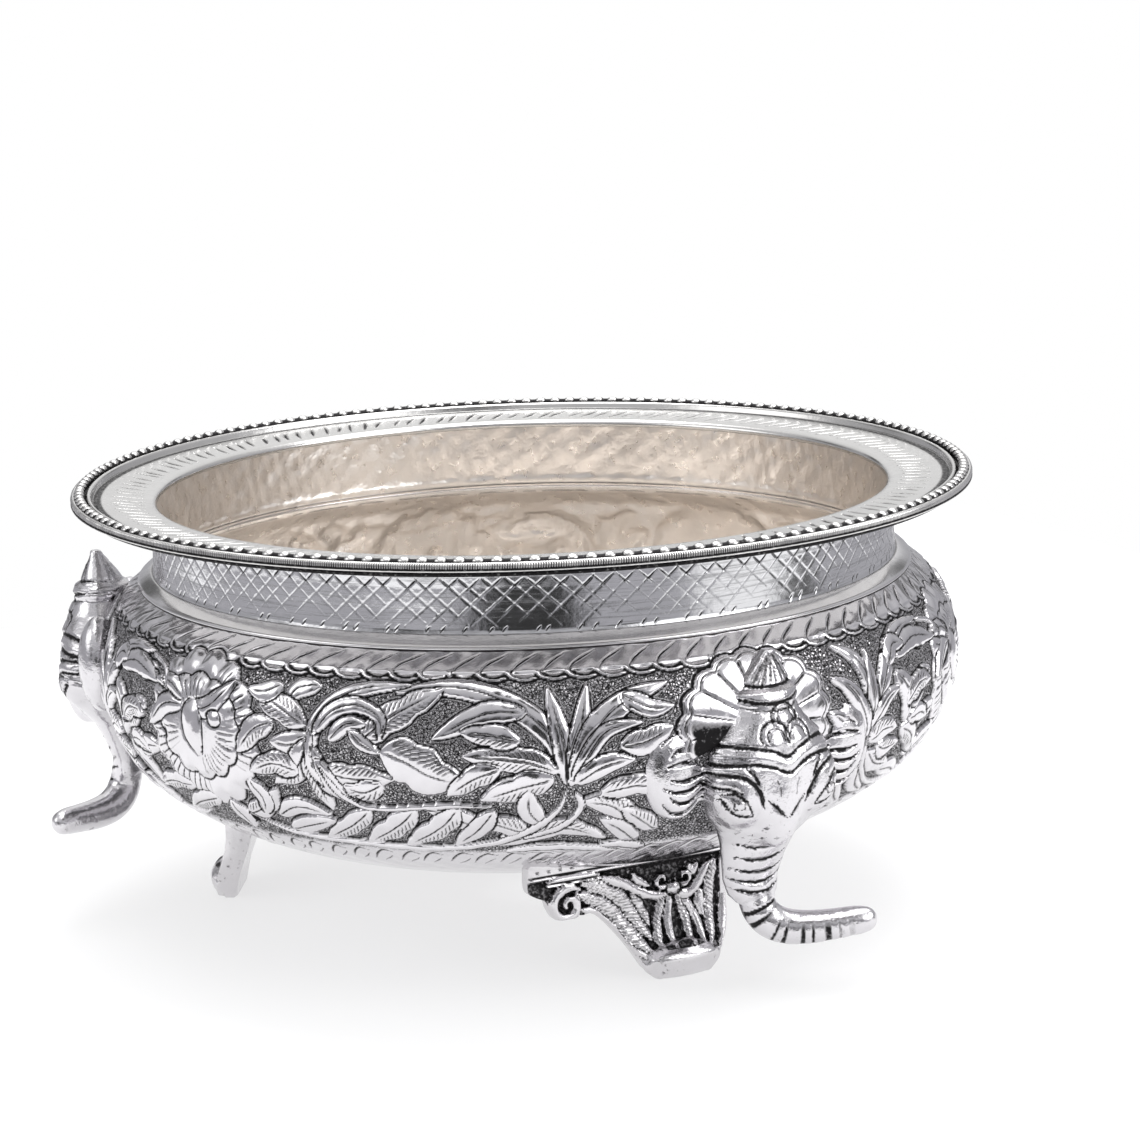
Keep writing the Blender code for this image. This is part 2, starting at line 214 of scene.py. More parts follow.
    def petals(self, centre, half, lobes, level, flutes, inner, turn=0.0):
        """Scalloped ring of petals with radial ticks near its edge."""
        c = np.array(centre)
        where, x, y = self.patch(c - np.array(half) * 1.2 - 1.5, c + np.array(half) * 1.2 + 1.5)
        px, py = (x - c[0]) / half[0], (y - c[1]) / half[1]
        k = np.hypot(px, py)
        angle = np.arctan2(py, px) + turn
        edge = 0.93 + 0.09 * np.abs(np.sin(lobes * angle / 2.0)) + 0.015 * np.sin(3 * angle + 1)
        inside = k < edge
        part = np.clip(k / edge, 0, 1)
        top = level - 0.8 * soft(part, 0.8, 1.0) + 0.5 * soft(part, inner, 0.8)
        top = top + 0.3 * np.sin(lobes * angle / 2.0) ** 2 * soft(part, 0.4, 0.9)
        wave = np.abs(np.sin(flutes * angle / 2.0 + 0.6 * np.sin(5 * angle)))
        marks = fade(wave, 0.2, 0.5) * soft(part, 0.46, 0.6) * fade(part, 0.88, 0.95)
        marks = marks * soft(np.sin(2.3 * angle + lobes), -0.9, 0.3) * 0.9
        rim = np.where(inside, 0.0, fade((k - edge) * min(half), 0.5, 1.2))
        self.put(where, inside, top - 0.2 * marks, marks, rim)

    def shell(self, centre, radius, flutes, squash):
        """Fan of flutes behind an elephant's crown, with a dark scalloped edge and a painted dark reflection on its
        left flutes.
        """
        c = np.array(centre)
        where, x, y = self.patch(c - radius * 1.25, c + radius * 1.25)
        px, py = x - c[0], (y - c[1]) / squash
        k = np.hypot(px, py)
        angle = np.arctan2(px, -py)
        wave = np.abs(np.cos(flutes * angle / 2.0))
        edge = radius * (1.0 + 0.07 * wave)
        spread = np.abs(angle) < 1.95
        inside = (k < edge) & spread
        marks = fade(wave, 0.07, 0.24) * soft(k, radius * 0.3, radius * 0.45) * fade(k, edge - 3.2, edge - 2.2)
        lip = soft(k, edge - 2.5, edge - 2.1) * fade(k, edge - 1.9, edge - 1.5)
        marks = np.maximum(marks, lip * 0.9)
        # painted reflection: the left flutes are darkened to stand for a dark reflection
        painted_dark_reflection = fade(angle, -1.6, -1.25) * soft(k, 8.0, 11.0) * fade(k, edge - 4.5, edge - 3.2)
        marks = np.maximum(marks, painted_dark_reflection * 0.95)
        top = 0.3 + 0.3 * wave - 0.35 * soft(k, edge - 3.0, edge)
        rim = np.where(inside, 0.0, fade(k - edge, 0.8, 1.6) * spread)
        self.put(where, inside, top - 0.3 * marks, marks, rim)


# ---------------------------------------------------------------- meshes

def add_object(name, data):
    obj = bpy.data.objects.new(name, data)
    bpy.context.scene.collection.objects.link(obj)
    return obj


def write_mesh(name, points, faces, dark, ground, uv, material):
    """Mesh object from points in mm and faces of one size, with its dark values (oxide and painted shade) and UV map.
    """
    mesh = bpy.data.meshes.new(name)
    points = np.asarray(points, np.float32) * 0.001
    faces = np.asarray(faces, np.int32)
    mesh.vertices.add(len(points))
    mesh.vertices.foreach_set("co", points.ravel())
    mesh.loops.add(faces.size)
    mesh.loops.foreach_set("vertex_index", faces.ravel())
    mesh.polygons.add(len(faces))
    mesh.polygons.foreach_set("loop_start", np.arange(0, faces.size, faces.shape[1], dtype=np.int32))
    mesh.update(calc_edges=True)
    mesh.shade_smooth()
    for key, values in (("dark", dark), ("ground", ground)):
        layer = mesh.attributes.new(key, "FLOAT", "POINT")
        values = np.zeros(len(points)) if values is None else np.asarray(values)
        layer.data.foreach_set("value", values.astype(np.float32).ravel())
    layer = mesh.uv_layers.new(name="OFBake")
    layer.data.foreach_set("uv", np.asarray(uv, np.float32).ravel())
    mesh.materials.append(material)
    return add_object(name, mesh)


def ring_faces(rows, columns):
    """Quads between rows of a grid that closes around the axis."""
    i, j = np.meshgrid(np.arange(rows - 1), np.arange(columns), indexing="ij")
    n = (j + 1) % columns
    quads = np.stack([i * columns + j, i * columns + n, (i + 1) * columns + n, (i + 1) * columns + j], -1)
    return quads.reshape(-1, 4)


def tube_faces(rows, columns):
    """The same quads, with the last row joined to the first."""
    return ring_faces(rows + 1, columns) % (rows * columns)


def strip_uv(rows, columns, strips, low, high):
    """UVs of ring faces: the ring cut into strips, laid one above the other between two heights."""
    i, j = np.meshgrid(np.arange(rows - 1), np.arange(columns), indexing="ij")
    per = columns // strips + (columns % strips > 0)
    strip = j // per
    tall = (high - low) / strips
    u0, u1 = (j % per) / per, (j % per + 1) / per
    v0 = low + tall * (strip + 0.03 + 0.94 * i / (rows - 1))
    v1 = low + tall * (strip + 0.03 + 0.94 * (i + 1) / (rows - 1))
    corners = np.stack([
        np.stack([u0, v0], -1), np.stack([u1, v0], -1), np.stack([u1, v1], -1), np.stack([u0, v1], -1),
    ], axis=2)
    uv = corners.reshape(-1, 4, 2)
    uv[..., 0] = 0.01 + 0.98 * uv[..., 0]
    return uv


def round_points(radius, height, angle):
    """Points for (rows, columns) of radius and height at the angles."""
    return np.stack([radius * np.sin(angle), -radius * np.cos(angle), height + 0 * angle], -1).reshape(-1, 3)


def turned(s, r, z, angle):
    """Points at s across, r out and z up, turned round the axis."""
    return np.stack([s * math.cos(angle) + r * math.sin(angle), s * math.sin(angle) - r * math.cos(angle), z], -1)


def full_turn(columns):
    """Angles of the columns, as one row."""
    return (np.arange(columns) * (2 * np.pi / columns))[None, :]


def spun(section, columns):
    """Radius and height of a section of (radius, height), repeated round the axis."""
    rows = np.array(section, float)
    return np.repeat(rows[:, :1], columns, 1), np.repeat(rows[:, 1:], columns, 1)


def write_ring(name, radius, height, angle, strips, material, dark=None, ground=None, closed=False, flip=True):
    """Mesh of (rows, columns) of radius and height. A closed one joins its last row to its first."""
    rows, columns = radius.shape
    faces = tube_faces(rows, columns) if closed else ring_faces(rows, columns)
    uv = strip_uv(rows + closed, columns, strips, 0.0, 1.0)
    if flip:
        faces, uv = faces[:, ::-1], uv[:, ::-1]
    return write_mesh(name, round_points(radius, height, angle), faces, dark, ground, uv, material)


def surface_net(field, low, step):
    """Closed quads on the zero level of a field that is negative inside."""
    inside = field < 0
    shape = np.array(field.shape) - 1
    count = np.zeros(shape, np.int8)
    for corner in np.ndindex(2, 2, 2):
        cut = tuple(slice(c, c + n) for c, n in zip(corner, shape))
        count += inside[cut]
    mixed = (count > 0) & (count < 8)
    index = np.full(shape, -1)
    index[mixed] = np.arange(mixed.sum())
    cells = np.argwhere(mixed)
    total = np.zeros((len(cells), 3))
    hits = np.zeros(len(cells))
    for axis in range(3):
        unit = np.eye(3, dtype=int)[axis]
        others = [a for a in range(3) if a != axis]
        for p, q in np.ndindex(2, 2):
            start = cells.copy()
            start[:, others[0]] += p
            start[:, others[1]] += q
            f0 = field[tuple(start.T)]
            f1 = field[tuple((start + unit).T)]
            cross = (f0 < 0) != (f1 < 0)
            t = np.where(cross, f0 / np.where(f0 == f1, 1.0, f0 - f1), 0.0)
            total += np.where(cross[:, None], start + t[:, None] * unit, 0.0)
            hits += cross
    points = low + step * total / hits[:, None]
    quads = []
    for axis in range(3):
        order = (axis, (axis + 1) % 3, (axis + 2) % 3)
        solid = inside.transpose(order)
        cell = index.transpose(order)
        a, b = solid[:-1, 1:-1, 1:-1], solid[1:, 1:-1, 1:-1]
        i, j, k = np.nonzero(a != b)
        four = np.stack([cell[i, j, k], cell[i, j + 1, k], cell[i, j + 1, k + 1], cell[i, j, k + 1]], -1)
        out = a[i, j, k]
        quads.append(np.where(out[:, None], four, four[:, ::-1]))
    return points, np.vstack(quads)


def sample(field, low, step, points):
    """Values of a grid at points, trilinear."""
    g = (points - low) / step
    base = np.clip(np.floor(g).astype(int), 0, np.array(field.shape) - 2)
    f = np.clip(g - base, 0.0, 1.0)
    value = 0.0
    for corner in np.ndindex(2, 2, 2):
        weight = np.prod([f[:, a] if corner[a] else 1 - f[:, a] for a in range(3)], axis=0)
        value = value + weight * field[tuple((base + corner).T)]
    return value


def settle(field, low, step, points):
    """Move net points onto the true zero level, and give the normals there."""
    slopes = np.gradient(field, step)
    for _ in range(3):
        value = sample(field, low, step, points)
        slope = np.stack([sample(s, low, step, points) for s in slopes], -1)
        size = np.maximum((slope ** 2).sum(-1), 0.05)
        move = np.clip(value / size, -0.4 * step, 0.4 * step)
        points = points - slope * move[:, None]
    slope = np.stack([sample(s, low, step, points) for s in slopes], -1)
    return points, slope / np.maximum(np.linalg.norm(slope, axis=1), 1e-6)[:, None]


def hollows(points, faces, normals):
    """How far each point lies below the smoothed surface, in mm."""
    smooth = points.copy()
    a = np.concatenate([faces.ravel(), np.roll(faces, -1, 1).ravel()])
    b = np.concatenate([np.roll(faces, -1, 1).ravel(), faces.ravel()])
    count = np.bincount(a, minlength=len(points))
    for _ in range(5):
        smooth = np.stack([np.bincount(a, weights=smooth[b, i], minlength=len(points)) for i in range(3)], -1)
        smooth /= count[:, None]
    return ((smooth - points) * normals).sum(-1)


def join_soft(a, b, round_by):
    """Union of two fields with a rounded joint."""
    h = np.clip(0.5 + 0.5 * (b - a) / round_by, 0.0, 1.0)
    return b + (a - b) * h - round_by * h * (1.0 - h)


def ellipsoid(s, r, z, centre, half, tilt=0.0):
    """Rough distance to an ellipsoid, tilted in the s-z plane."""
    turn = math.radians(tilt)
    x, y, h = s - centre[0], r - centre[1], z - centre[2]
    x, h = x * math.cos(turn) - h * math.sin(turn), x * math.sin(turn) + h * math.cos(turn)
    k0 = np.sqrt((x / half[0]) ** 2 + (y / half[1]) ** 2 + (h / half[2]) ** 2)
    k1 = np.sqrt((x / half[0] ** 2) ** 2 + (y / half[1] ** 2) ** 2 + (h / half[2] ** 2) ** 2)
    return k0 * (k0 - 1.0) / np.maximum(k1, 1e-6)


def belly_table():
    """Points down the belly's curve, the distance along it, and its outward normals."""
    line = curve(BELLY, 12)
    spans = np.diff(line, axis=0)
    length = np.concatenate([[0.0], np.cumsum(np.hypot(spans[:, 0], spans[:, 1]))])
    along = np.gradient(line, axis=0)
    along /= np.hypot(along[:, 0], along[:, 1])[:, None]
    normal = np.stack([-along[:, 1], along[:, 0]], -1)
    return line, length, normal


LINE, LENGTH, NORMAL = belly_table()


def outside_belly(radius, height):
    """Rough distance outside the belly's outer surface."""
    order = np.argsort(LINE[:, 1])
    surface = np.interp(height, LINE[order, 1], LINE[order, 0])
    lean = np.interp(height, LINE[order, 1], NORMAL[order, 0])
    side = (radius - surface) * np.maximum(lean, 0.35)
    side = np.where(height > 116.0, radius - 127.0, side)
    return np.where(height < BASE_Z, np.maximum(side, BASE_Z - height), side)


# ---------------------------------------------------------------- metals

class Tree:
    """The nodes of a material or a world, with short ways to add to them."""

    def __init__(self, owner):
        owner.use_nodes = True
        self.nodes, self.links = owner.node_tree.nodes, owner.node_tree.links
        self.place = self.nodes.new("ShaderNodeTexCoord")

    def fill(self, node, inputs):
        """Link each input to a socket, or set it to a fixed value."""
        for key, value in inputs.items():
            socket = node.inputs[key]
            if isinstance(value, bpy.types.NodeSocket):
                self.links.new(value, socket)
            else:
                socket.default_value = (*value, 1.0) if socket.type == "RGBA" else value
        return node

    def add(self, kind, inputs):
        return self.fill(self.nodes.new("ShaderNode" + kind), inputs)

    def noise(self, scale, detail=4.0, roughness=0.6, vector=None):
        inputs = {
            "Vector": self.place.outputs["Object"] if vector is None else vector,
            "Scale": scale, "Detail": detail, "Roughness": roughness,
        }
        return self.add("TexNoise", inputs).outputs["Fac"]

    def cells(self, feature, scale):
        node = self.nodes.new("ShaderNodeTexVoronoi")
        node.feature = feature
        self.fill(node, {"Vector": self.place.outputs["Object"], "Scale": scale})
        return node.outputs["Distance"]

    def spread(self, source, low, high, to_low=0.0, to_high=1.0):
        inputs = {"Value": source, "From Min": low, "From Max": high, "To Min": to_low, "To Max": to_high}
        return self.add("MapRange", inputs).outputs["Result"]

    def calc(self, kind, a, b):
        node = self.nodes.new("ShaderNodeMath")
        node.operation = kind
        return self.fill(node, {0: a, 1: b}).outputs[0]

    def blend(self, factor, a, b):
        node = self.nodes.new("ShaderNodeMix")
        node.data_type = "RGBA"
        return self.fill(node, {0: factor, 6: a, 7: b}).outputs[2]

    def attribute(self, name):
        node = self.nodes.new("ShaderNodeAttribute")
        node.attribute_name = name
        return node.outputs["Fac"]


def metal(name, colour, rough, bump, stain=0.1, punched=False, dents=0.0, pits=0.0, streaks=0.0):
    """Plated metal: mottled colour, dark oxide in the hollows and painted shade where the dark attribute carries it,
    fine dents and scratches.

    Each bump is its noise scale, strength and depth in mm. dents is the scale of hammer marks, and
    pits and streaks say how dark those marks are.
    """
    material = bpy.data.materials.new(name)
    tree = Tree(material)
    dull = tuple(c * (1.0 - stain) for c in colour)
    mottled = tree.blend(tree.spread(tree.noise(55.0), 0.35, 0.7), colour, dull)
    worn = tree.spread(tree.spread(tree.noise(900.0, 3.0), 0.3, 0.7), 0.0, 1.0, 1.25, 0.75)
    # the dark attribute is oxide in hollows and engraving, plus painted shade and a painted dark reflection on some
    # pieces
    oxide_and_shade = tree.spread(tree.calc("MULTIPLY", tree.attribute("dark"), worn), 0.15, 0.85)
    if punched:
        marks = tree.spread(tree.cells("DISTANCE_TO_EDGE", 950.0), 0.02, 0.18, 1.0, 0.24)
        marks = tree.calc("MAXIMUM", marks, tree.spread(tree.noise(1500.0, 2.0), 0.47, 0.6))
        punches = tree.calc("MULTIPLY", marks, tree.attribute("ground"))
        oxide_and_shade = tree.calc("MAXIMUM", oxide_and_shade, punches)
    if streaks:
        stretched = tree.add("Mapping", {"Vector": tree.place.outputs["Object"], "Scale": (1.0, 1.0, 26.0)})
        lines = tree.noise(46.0, 5.0, 0.7, stretched.outputs["Vector"])
        oxide_and_shade = tree.calc("MAXIMUM", oxide_and_shade, tree.spread(lines, 0.5, 0.78, 0.0, streaks))
    if pits:
        specks = tree.spread(tree.noise(430.0, 3.0, 0.7), 0.6, 0.7)
        areas = tree.spread(tree.noise(62.0, 2.0), 0.44, 0.62)
        specks = tree.calc("MULTIPLY", tree.calc("MULTIPLY", specks, areas), pits)
        oxide_and_shade = tree.calc("MAXIMUM", oxide_and_shade, specks)
    polish = tree.spread(tree.noise(220.0), 0.3, 0.75, rough * 0.75, rough * 1.35)
    roughness = tree.nodes.new("ShaderNodeMix")
    roughness.data_type = "FLOAT"
    tree.fill(roughness, {0: oxide_and_shade, 2: polish, 3: 0.55})

    heights = [(tree.noise(scale, 3.0), strength, depth, False) for scale, strength, depth in bump]
    if dents:
        heights.append((tree.cells("SMOOTH_F1", dents), 0.5, 0.6, False))
    if punched:
        heights.append((punches, 0.9, 0.25, True))
    normal = {}
    for height, strength, depth, invert in heights:
        inputs = {"Height": height, "Strength": strength, "Distance": depth * 0.001, **normal}
        node = tree.add("Bump", inputs)
        node.invert = invert
        normal = {"Normal": node.outputs["Normal"]}
    tree.fill(tree.nodes["Principled BSDF"], {
        "Base Color": tree.blend(oxide_and_shade, mottled, OXIDE_AND_SHADE), "Roughness": roughness.outputs[0],
        "Metallic": 1.0, **normal,
    })
    return material


# ---------------------------------------------------------------- the belly's design

SPRAYS = (
    # leaf: half width, ticks (0 none, 1 or -1 one side, 2 both), points from base to tip as (u, v)
    (4.4, 0, ((-64, 43), (-67, 32), (-74, 23), (-86, 16), (-100, 13), (-118, 15))),
    (3.6, 0, ((-76, 21), (-89, 21.5), (-105, 29))),
    (3.0, 0, ((-64, 45), (-65.5, 30), (-69.5, 13))),
    (2.9, 0, ((-63, 45), (-60, 28), (-57, 12.5))),
    (3.9, 0, ((-63, 43), (-55, 27), (-44, 18.5), (-31, 14.5))),
    (2.4, 0, ((-62.5, 42), (-54, 29.5), (-47, 26.5), (-40, 26))),
    (3.2, 0, ((-62, 44), (-53, 38.5), (-43, 37))),
    (4.8, -1, ((-42, 62), (-50, 53), (-61, 50))),
    (4.4, 0, ((-40, 72), (-46, 64), (-54, 57.5))),
    (3.2, 0, ((-36, 77), (-44, 74), (-53, 71))),
    (4.6, 1, ((-88, 69), (-76, 63.5), (-64, 61), (-51, 67))),
    (2.6, 0, ((-85, 74), (-72, 72), (-60, 73), (-45, 76))),
    (4.8, 2, ((-67, 40), (-78, 35.5), (-96, 34))),
    (5.2, 1, ((-68, 42), (-77, 44), (-91, 48.5))),
    (3.8, 0, ((-72, 59), (-76, 53), (-76, 45.5))),
    (4.6, -1, ((-76, 63), (-86, 58.5), (-96, 57))),
    (3.8, 0, ((-90, 63), (-98, 56), (-109, 51.5))),
    (8.6, 1, ((-121, 33), (-113, 36), (-105, 40.5), (-95, 43))),
    (5.0, 1, ((-112, 53), (-119, 60), (-132, 69.5))),
    (4.8, 1, ((-98, 52), (-105, 60), (-118, 69.5))),
    (4.4, 1, ((-127, 54), (-135, 61), (-147, 68.5))),
    (3.4, 0, ((-87, 53), (-93, 61), (-101, 68.5))),
    (5.0, 1, ((-141, 41), (-130, 42.5), (-117, 42))),
    (5.2, 2, ((-129, 32), (-118, 23), (-101, 13.5))),
    (2.7, 0, ((-144, 37), (-143, 27), (-136, 18.5), (-126, 14), (-111, 12.5))),
    (2.5, 0, ((-143, 29), (-137, 22), (-129, 19.5), (-121, 23), (-121, 30))),
    (2.6, 0, ((-138, 31), (-132, 25.5), (-125, 25))),
    (2.2, 0, ((-131, 27), (-127, 31), (-121, 34))),
    (3.0, 0, ((-142, 14), (-150, 16), (-153, 22))),
    (5.2, 2, ((-146, 27), (-156, 22), (-169, 16.5))),
    (3.9, 0, ((-145, 30), (-150, 33), (-159, 33))),
    (5.0, 1, ((-145, 31), (-149, 40), (-159, 47))),
    (4.3, 2, ((-144, 33), (-143, 43), (-139.5, 55))),
    (3.2, 0, ((-143, 37), (-138, 46), (-130, 51))),
    (4.0, 0, ((-163, 61), (-153, 55), (-141, 57))),
    (4.6, 1, ((-177, 63), (-167, 57.5), (-159, 49))),
    (3.6, 0, ((-161, 67), (-151, 63), (-140, 59))),
    (4.2, 1, ((-188, 58), (-200, 62), (-214, 69))),
    (4.0, 1, ((-200, 56), (-212, 56), (-226, 61))),
    (3.8, 0, ((-183, 58), (-181, 64), (-179, 70.5))),
    (3.6, 0, ((-214, 44), (-222, 45), (-232, 51))),
    # fill between the larger leaves
    (4.2, 1, ((-84, 38), (-92, 41), (-101, 47))),
    (3.4, 1, ((-78, 30), (-86, 28), (-96, 27))),
    (4.2, 1, ((-54, 48), (-43, 46), (-31, 49))),
    (4.0, -1, ((-34, 66), (-40, 60), (-47, 54))),
    (3.8, 1, ((-48, 33), (-40, 32), (-31, 28))),
    (3.0, 0, ((-47, 17), (-38, 22), (-30, 22))),
    (3.6, 1, ((-158, 27), (-165, 30), (-172, 38))),
    (3.2, 0, ((-156, 15), (-162, 18), (-169, 18))),
    (4.4, 2, ((-149, 42), (-158, 40), (-168, 44))),
    (3.4, 1, ((-121, 44), (-128, 47), (-134, 45))),
    (3.4, 0, ((-170, 47), (-166, 54), (-168, 61))),
    (3.6, 1, ((-220, 30), (-227, 34), (-232, 42))),
    (3.4, 0, ((-216, 18), (-224, 20), (-232, 17))),
    # right of each elephant
    (4.2, 0, ((45, 45), (50, 32), (57, 22), (67, 14.5), (84, 13))),
    (3.0, 0, ((44, 46), (45.5, 31), (40, 18), (31, 12))),
    (2.7, 0, ((44.5, 45), (46, 32), (45.5, 16))),
    (3.2, 0, ((43.5, 47), (41, 36), (35, 27), (27, 22))),
    (2.8, 0, ((46, 42), (53, 34.5), (61, 31.5))),
    (4.8, 1, ((46, 47), (53, 44), (61, 45))),
    (4.8, 0, ((60, 27), (67, 35), (66, 45))),
    (4.4, 2, ((66, 39), (74, 33.5), (84, 34))),
    (3.6, 0, ((62, 22), (75, 18.5), (92, 22))),
    (4.6, 1, ((47, 51), (54, 57), (65, 59.5))),
    (4.2, 0, ((45, 56), (48, 64), (57, 70))),
    (4.6, -1, ((66, 47), (74, 51), (82, 60))),
    (3.8, 0, ((61, 62), (71, 64), (82, 69.5))),
    (3.6, 0, ((19, 60), (25, 67), (34, 71.5))),
    (3.6, 0, ((35, 60), (39, 67), (46, 73))),
    (3.4, 1, ((52, 50), (57, 52), (65, 51))),
    (3.4, 0, ((56, 24), (61, 18), (68, 19))),
    (3.2, 0, ((36, 44), (31, 37), (25, 33))),
    (3.2, 0, ((70, 45), (77, 44), (84, 47))),
)
STEMS = (
    # half width, points
    (1.2, ((-64, 45), (-67, 53), (-74, 60), (-84, 66), (-96, 70), (-114, 71.8), (-140, 70.5), (-160, 69), (-176, 62))),
    (0.9, ((-141, 40), (-135, 49), (-126, 53), (-112, 52), (-98, 50.8), (-87, 51.5))),
    (1.0, ((-62, 46), (-60, 53), (-66, 60), (-78, 65))),
    (1.1, ((-144, 28), (-145, 38), (-141, 46))),
    (1.1, ((44, 45), (47, 57), (57, 66), (72, 71), (92, 71.5), (106, 66))),
    (0.9, ((84, 14), (94, 17), (98, 24))),
)


BLOSSOM_LEAVES = (
    # half width, height, depth of the midrib, points
    (5.4, 1.3, 0.9, ((-197, 27), (-206, 28), (-215, 36))),
    (5.0, 1.3, 0.9, ((-194, 27), (-184, 25.5), (-174, 16))),
    (4.2, 1.2, 0.9, ((-197, 25), (-204, 21), (-214, 21))),
    (7.4, 1.6, 0.0, ((-192, 24), (-192, 33), (-189, 42))),
)


def draw_border(chart):
    """Shoulder lines that end in scallops, and hooked strokes above the plain lower band."""
    count = 32
    pitch = AROUND / count
    for k in range(count):
        u = k * pitch
        sway = 0.5 * math.sin(2.1 * k) + 0.3 * math.sin(5.3 * k)
        chart.groove(((u - 4.6 + sway, 8.6), (u - 2.0 + sway, 5.2), (u + 4.6, 0.8)), 0.52, 0.3, 0.95, 0.4)
        where, x, y = chart.patch((u - 6.0, 6.4), (u + 6.0, 13.4))
        part = np.hypot((x - u) / 4.5, (y - 8.3) / 2.2)
        scoop = (part < 1.0) & (y > 8.3)
        chart.high[where] = np.where(scoop, -0.1 - 0.3 * (1.0 - part ** 2), chart.high[where])
        chart.ground[where] = np.where(scoop, 0.0, chart.ground[where])
        filled = 0.9 * soft(part, 0.35, 0.75) if k % 3 else 0.25 * soft(part, 0.6, 0.9)
        chart.dark[where] = np.where(scoop, filled, chart.dark[where])
        lip = fade(np.abs(part - 1.15), 0.1, 0.2) * (y > 8.0)
        chart.high[where] = np.where(lip > 0.3, 0.05, chart.high[where])
        chart.ground[where] *= 1.0 - lip
        chart.dark[where] = np.where(lip > 0.3, 0.0, chart.dark[where])
        line = fade(np.abs(part - 1.42), 0.1, 0.24) * (y > 8.6)
        chart.dark[where] = np.maximum(chart.dark[where], line)
        chart.high[where] -= 0.25 * line
        line = fade(np.abs(part - 0.96), 0.03, 0.09) * (y > 7.6)
        chart.dark[where] = np.maximum(chart.dark[where], 0.9 * line)
        u += 0.6 * math.sin(3.7 * k)
        chart.groove(((u - 1.5, 83.0), (u + 1.0, 78.5), (u + 4.0, 75.6), (u + 7.6, 76.6)), 0.7, 0.4, 0.85, 0.3)
        chart.groove(((u + 6.4, 79.4), (u + 4.2, 82.4), (u + 1.6, 84.6)), 0.5, 0.3, 0.7, 0.4)


def draw_belly():
    """A third of the belly's relief."""
    chart = Chart((0.0, 0.0), (AROUND, 92.0), RELIEF_STEP, wrap=True)
    rows = (np.arange(chart.ny) * chart.step)[:, None]
    grain = np.random.default_rng(SEED).random((chart.ny, chart.nx))
    zone = soft(rows, 10.5, 11.5) * fade(rows, 73.5, 75.5)
    chart.ground += zone
    chart.high -= GROUND_DEPTH * zone
    draw_border(chart)
    chart.shell((-2.0, 31.5), 26.0, 17, 0.88)
    chart.petals((-190.0, 34.0), (26.0, 26.5), 15, 0.15, 52, 0.6)
    chart.petals((-190.0, 33.0), (18.5, 17.0), 12, 0.7, 40, 0.4, 0.3)
    for wide, high, rib, points in BLOSSOM_LEAVES:
        chart.leaf(points, wide, high, 0, rib=rib)
    chart.blob((-181.5, 29.0), (2.8, 2.4), 1.3)
    chart.blob((-180.0, 65.0), (3.4, 4.6), 0.9)
    for wide, ticks, points in SPRAYS:
        chart.leaf(points, (1.62 if wide < 4.0 else 1.34) * wide, 0.85, ticks)
    for wide, points in STEMS:
        chart.ridge(points, wide)
    chart.high += (grain - 0.5) * 0.34 * chart.ground
    u = np.arange(chart.nx)[None, :] * (2 * np.pi / chart.nx)
    for k, (waves, drop, size) in enumerate(((37, 0.35, 0.05), (23, -0.5, 0.06), (61, 0.8, 0.03), (11, 0.21, 0.08))):
        chart.high += size * np.sin(waves * u + drop * rows + 2.1 * k + np.sin(5 * u + k))
    return chart


def belly_sheet(name, relief, step, tail, thick, top, shades, flip, material):
    """One side of the sheet: the relief three times round, then the plain tail and the base."""
    columns = relief.shape[1] * 3
    reach, count = tail
    v = np.arange(len(relief)) * step
    along = np.concatenate([v, np.linspace(v[-1] + reach, LENGTH[-1], count)])
    high = np.vstack([np.tile(relief, (1, 3)), np.full((count, columns), -thick)])
    base = spun([(r, BASE_Z + thick) for r in BASE_RINGS], columns)
    sides = []
    for i in (0, 1):
        wall = np.interp(along, LENGTH, LINE[:, i])[:, None] + high * np.interp(along, LENGTH, NORMAL[:, i])[:, None]
        sides.append(np.vstack([*([spun(top, columns)[i]] if top else []), wall, base[i]]))
    plain = np.zeros((count + len(BASE_RINGS), columns))
    shades = [np.vstack([np.tile(shade, (1, 3)), plain]) for shade in shades] or [None, None]
    angle = math.radians(PATTERN_TURN) + full_turn(columns)
    return write_ring(name, *sides, angle, 3, material, *shades, flip=flip)


def make_belly(outside, inside):
    """The embossed skin, and a lining that follows it softly, as sheet pushed from behind."""
    chart = draw_belly()
    shades = (chart.dark, chart.ground)
    skin = belly_sheet("bowl_skin", chart.high, chart.step, (1.5, 24), 0.0, (), shades, True, outside)

    # smoothed and deepened, but never outside the skin's deepest point nearby, nor in a casting's seat
    coarse = chart.high[::3, ::3] * 1.2
    coarse = (coarse + np.roll(coarse, 1, 1) + np.roll(coarse, -1, 1)) / 3.0
    coarse = (coarse + np.vstack([coarse[:1], coarse[:-1]]) + np.vstack([coarse[1:], coarse[-1:]])) / 3.0
    deepest = chart.high.copy()
    for shift in (-3, -2, -1, 1, 2, 3):
        deepest = np.minimum(deepest, np.roll(chart.high, shift, 1))
    for shift in (1, 2, 3):
        deepest[shift:] = np.minimum(deepest[shift:], deepest[:-shift])
        deepest[:-shift] = np.minimum(deepest[:-shift], deepest[shift:])
    coarse = np.minimum(coarse * 1.5 - WALL, deepest[::3, ::3] - 0.4)
    head_reach = 46.0
    behind_head = (np.arange(coarse.shape[1]) * chart.step * 3 + head_reach) % AROUND < 2 * head_reach
    coarse[:, behind_head] = np.minimum(coarse[:, behind_head], -1.1)
    top = ((124.95, 119.6), (125.1, 117.6))
    lining = belly_sheet("bowl_lining", coarse, chart.step * 3, (3.0, 12), WALL, top, (), False, inside)
    return skin, lining


# ---------------------------------------------------------------- neck and rim

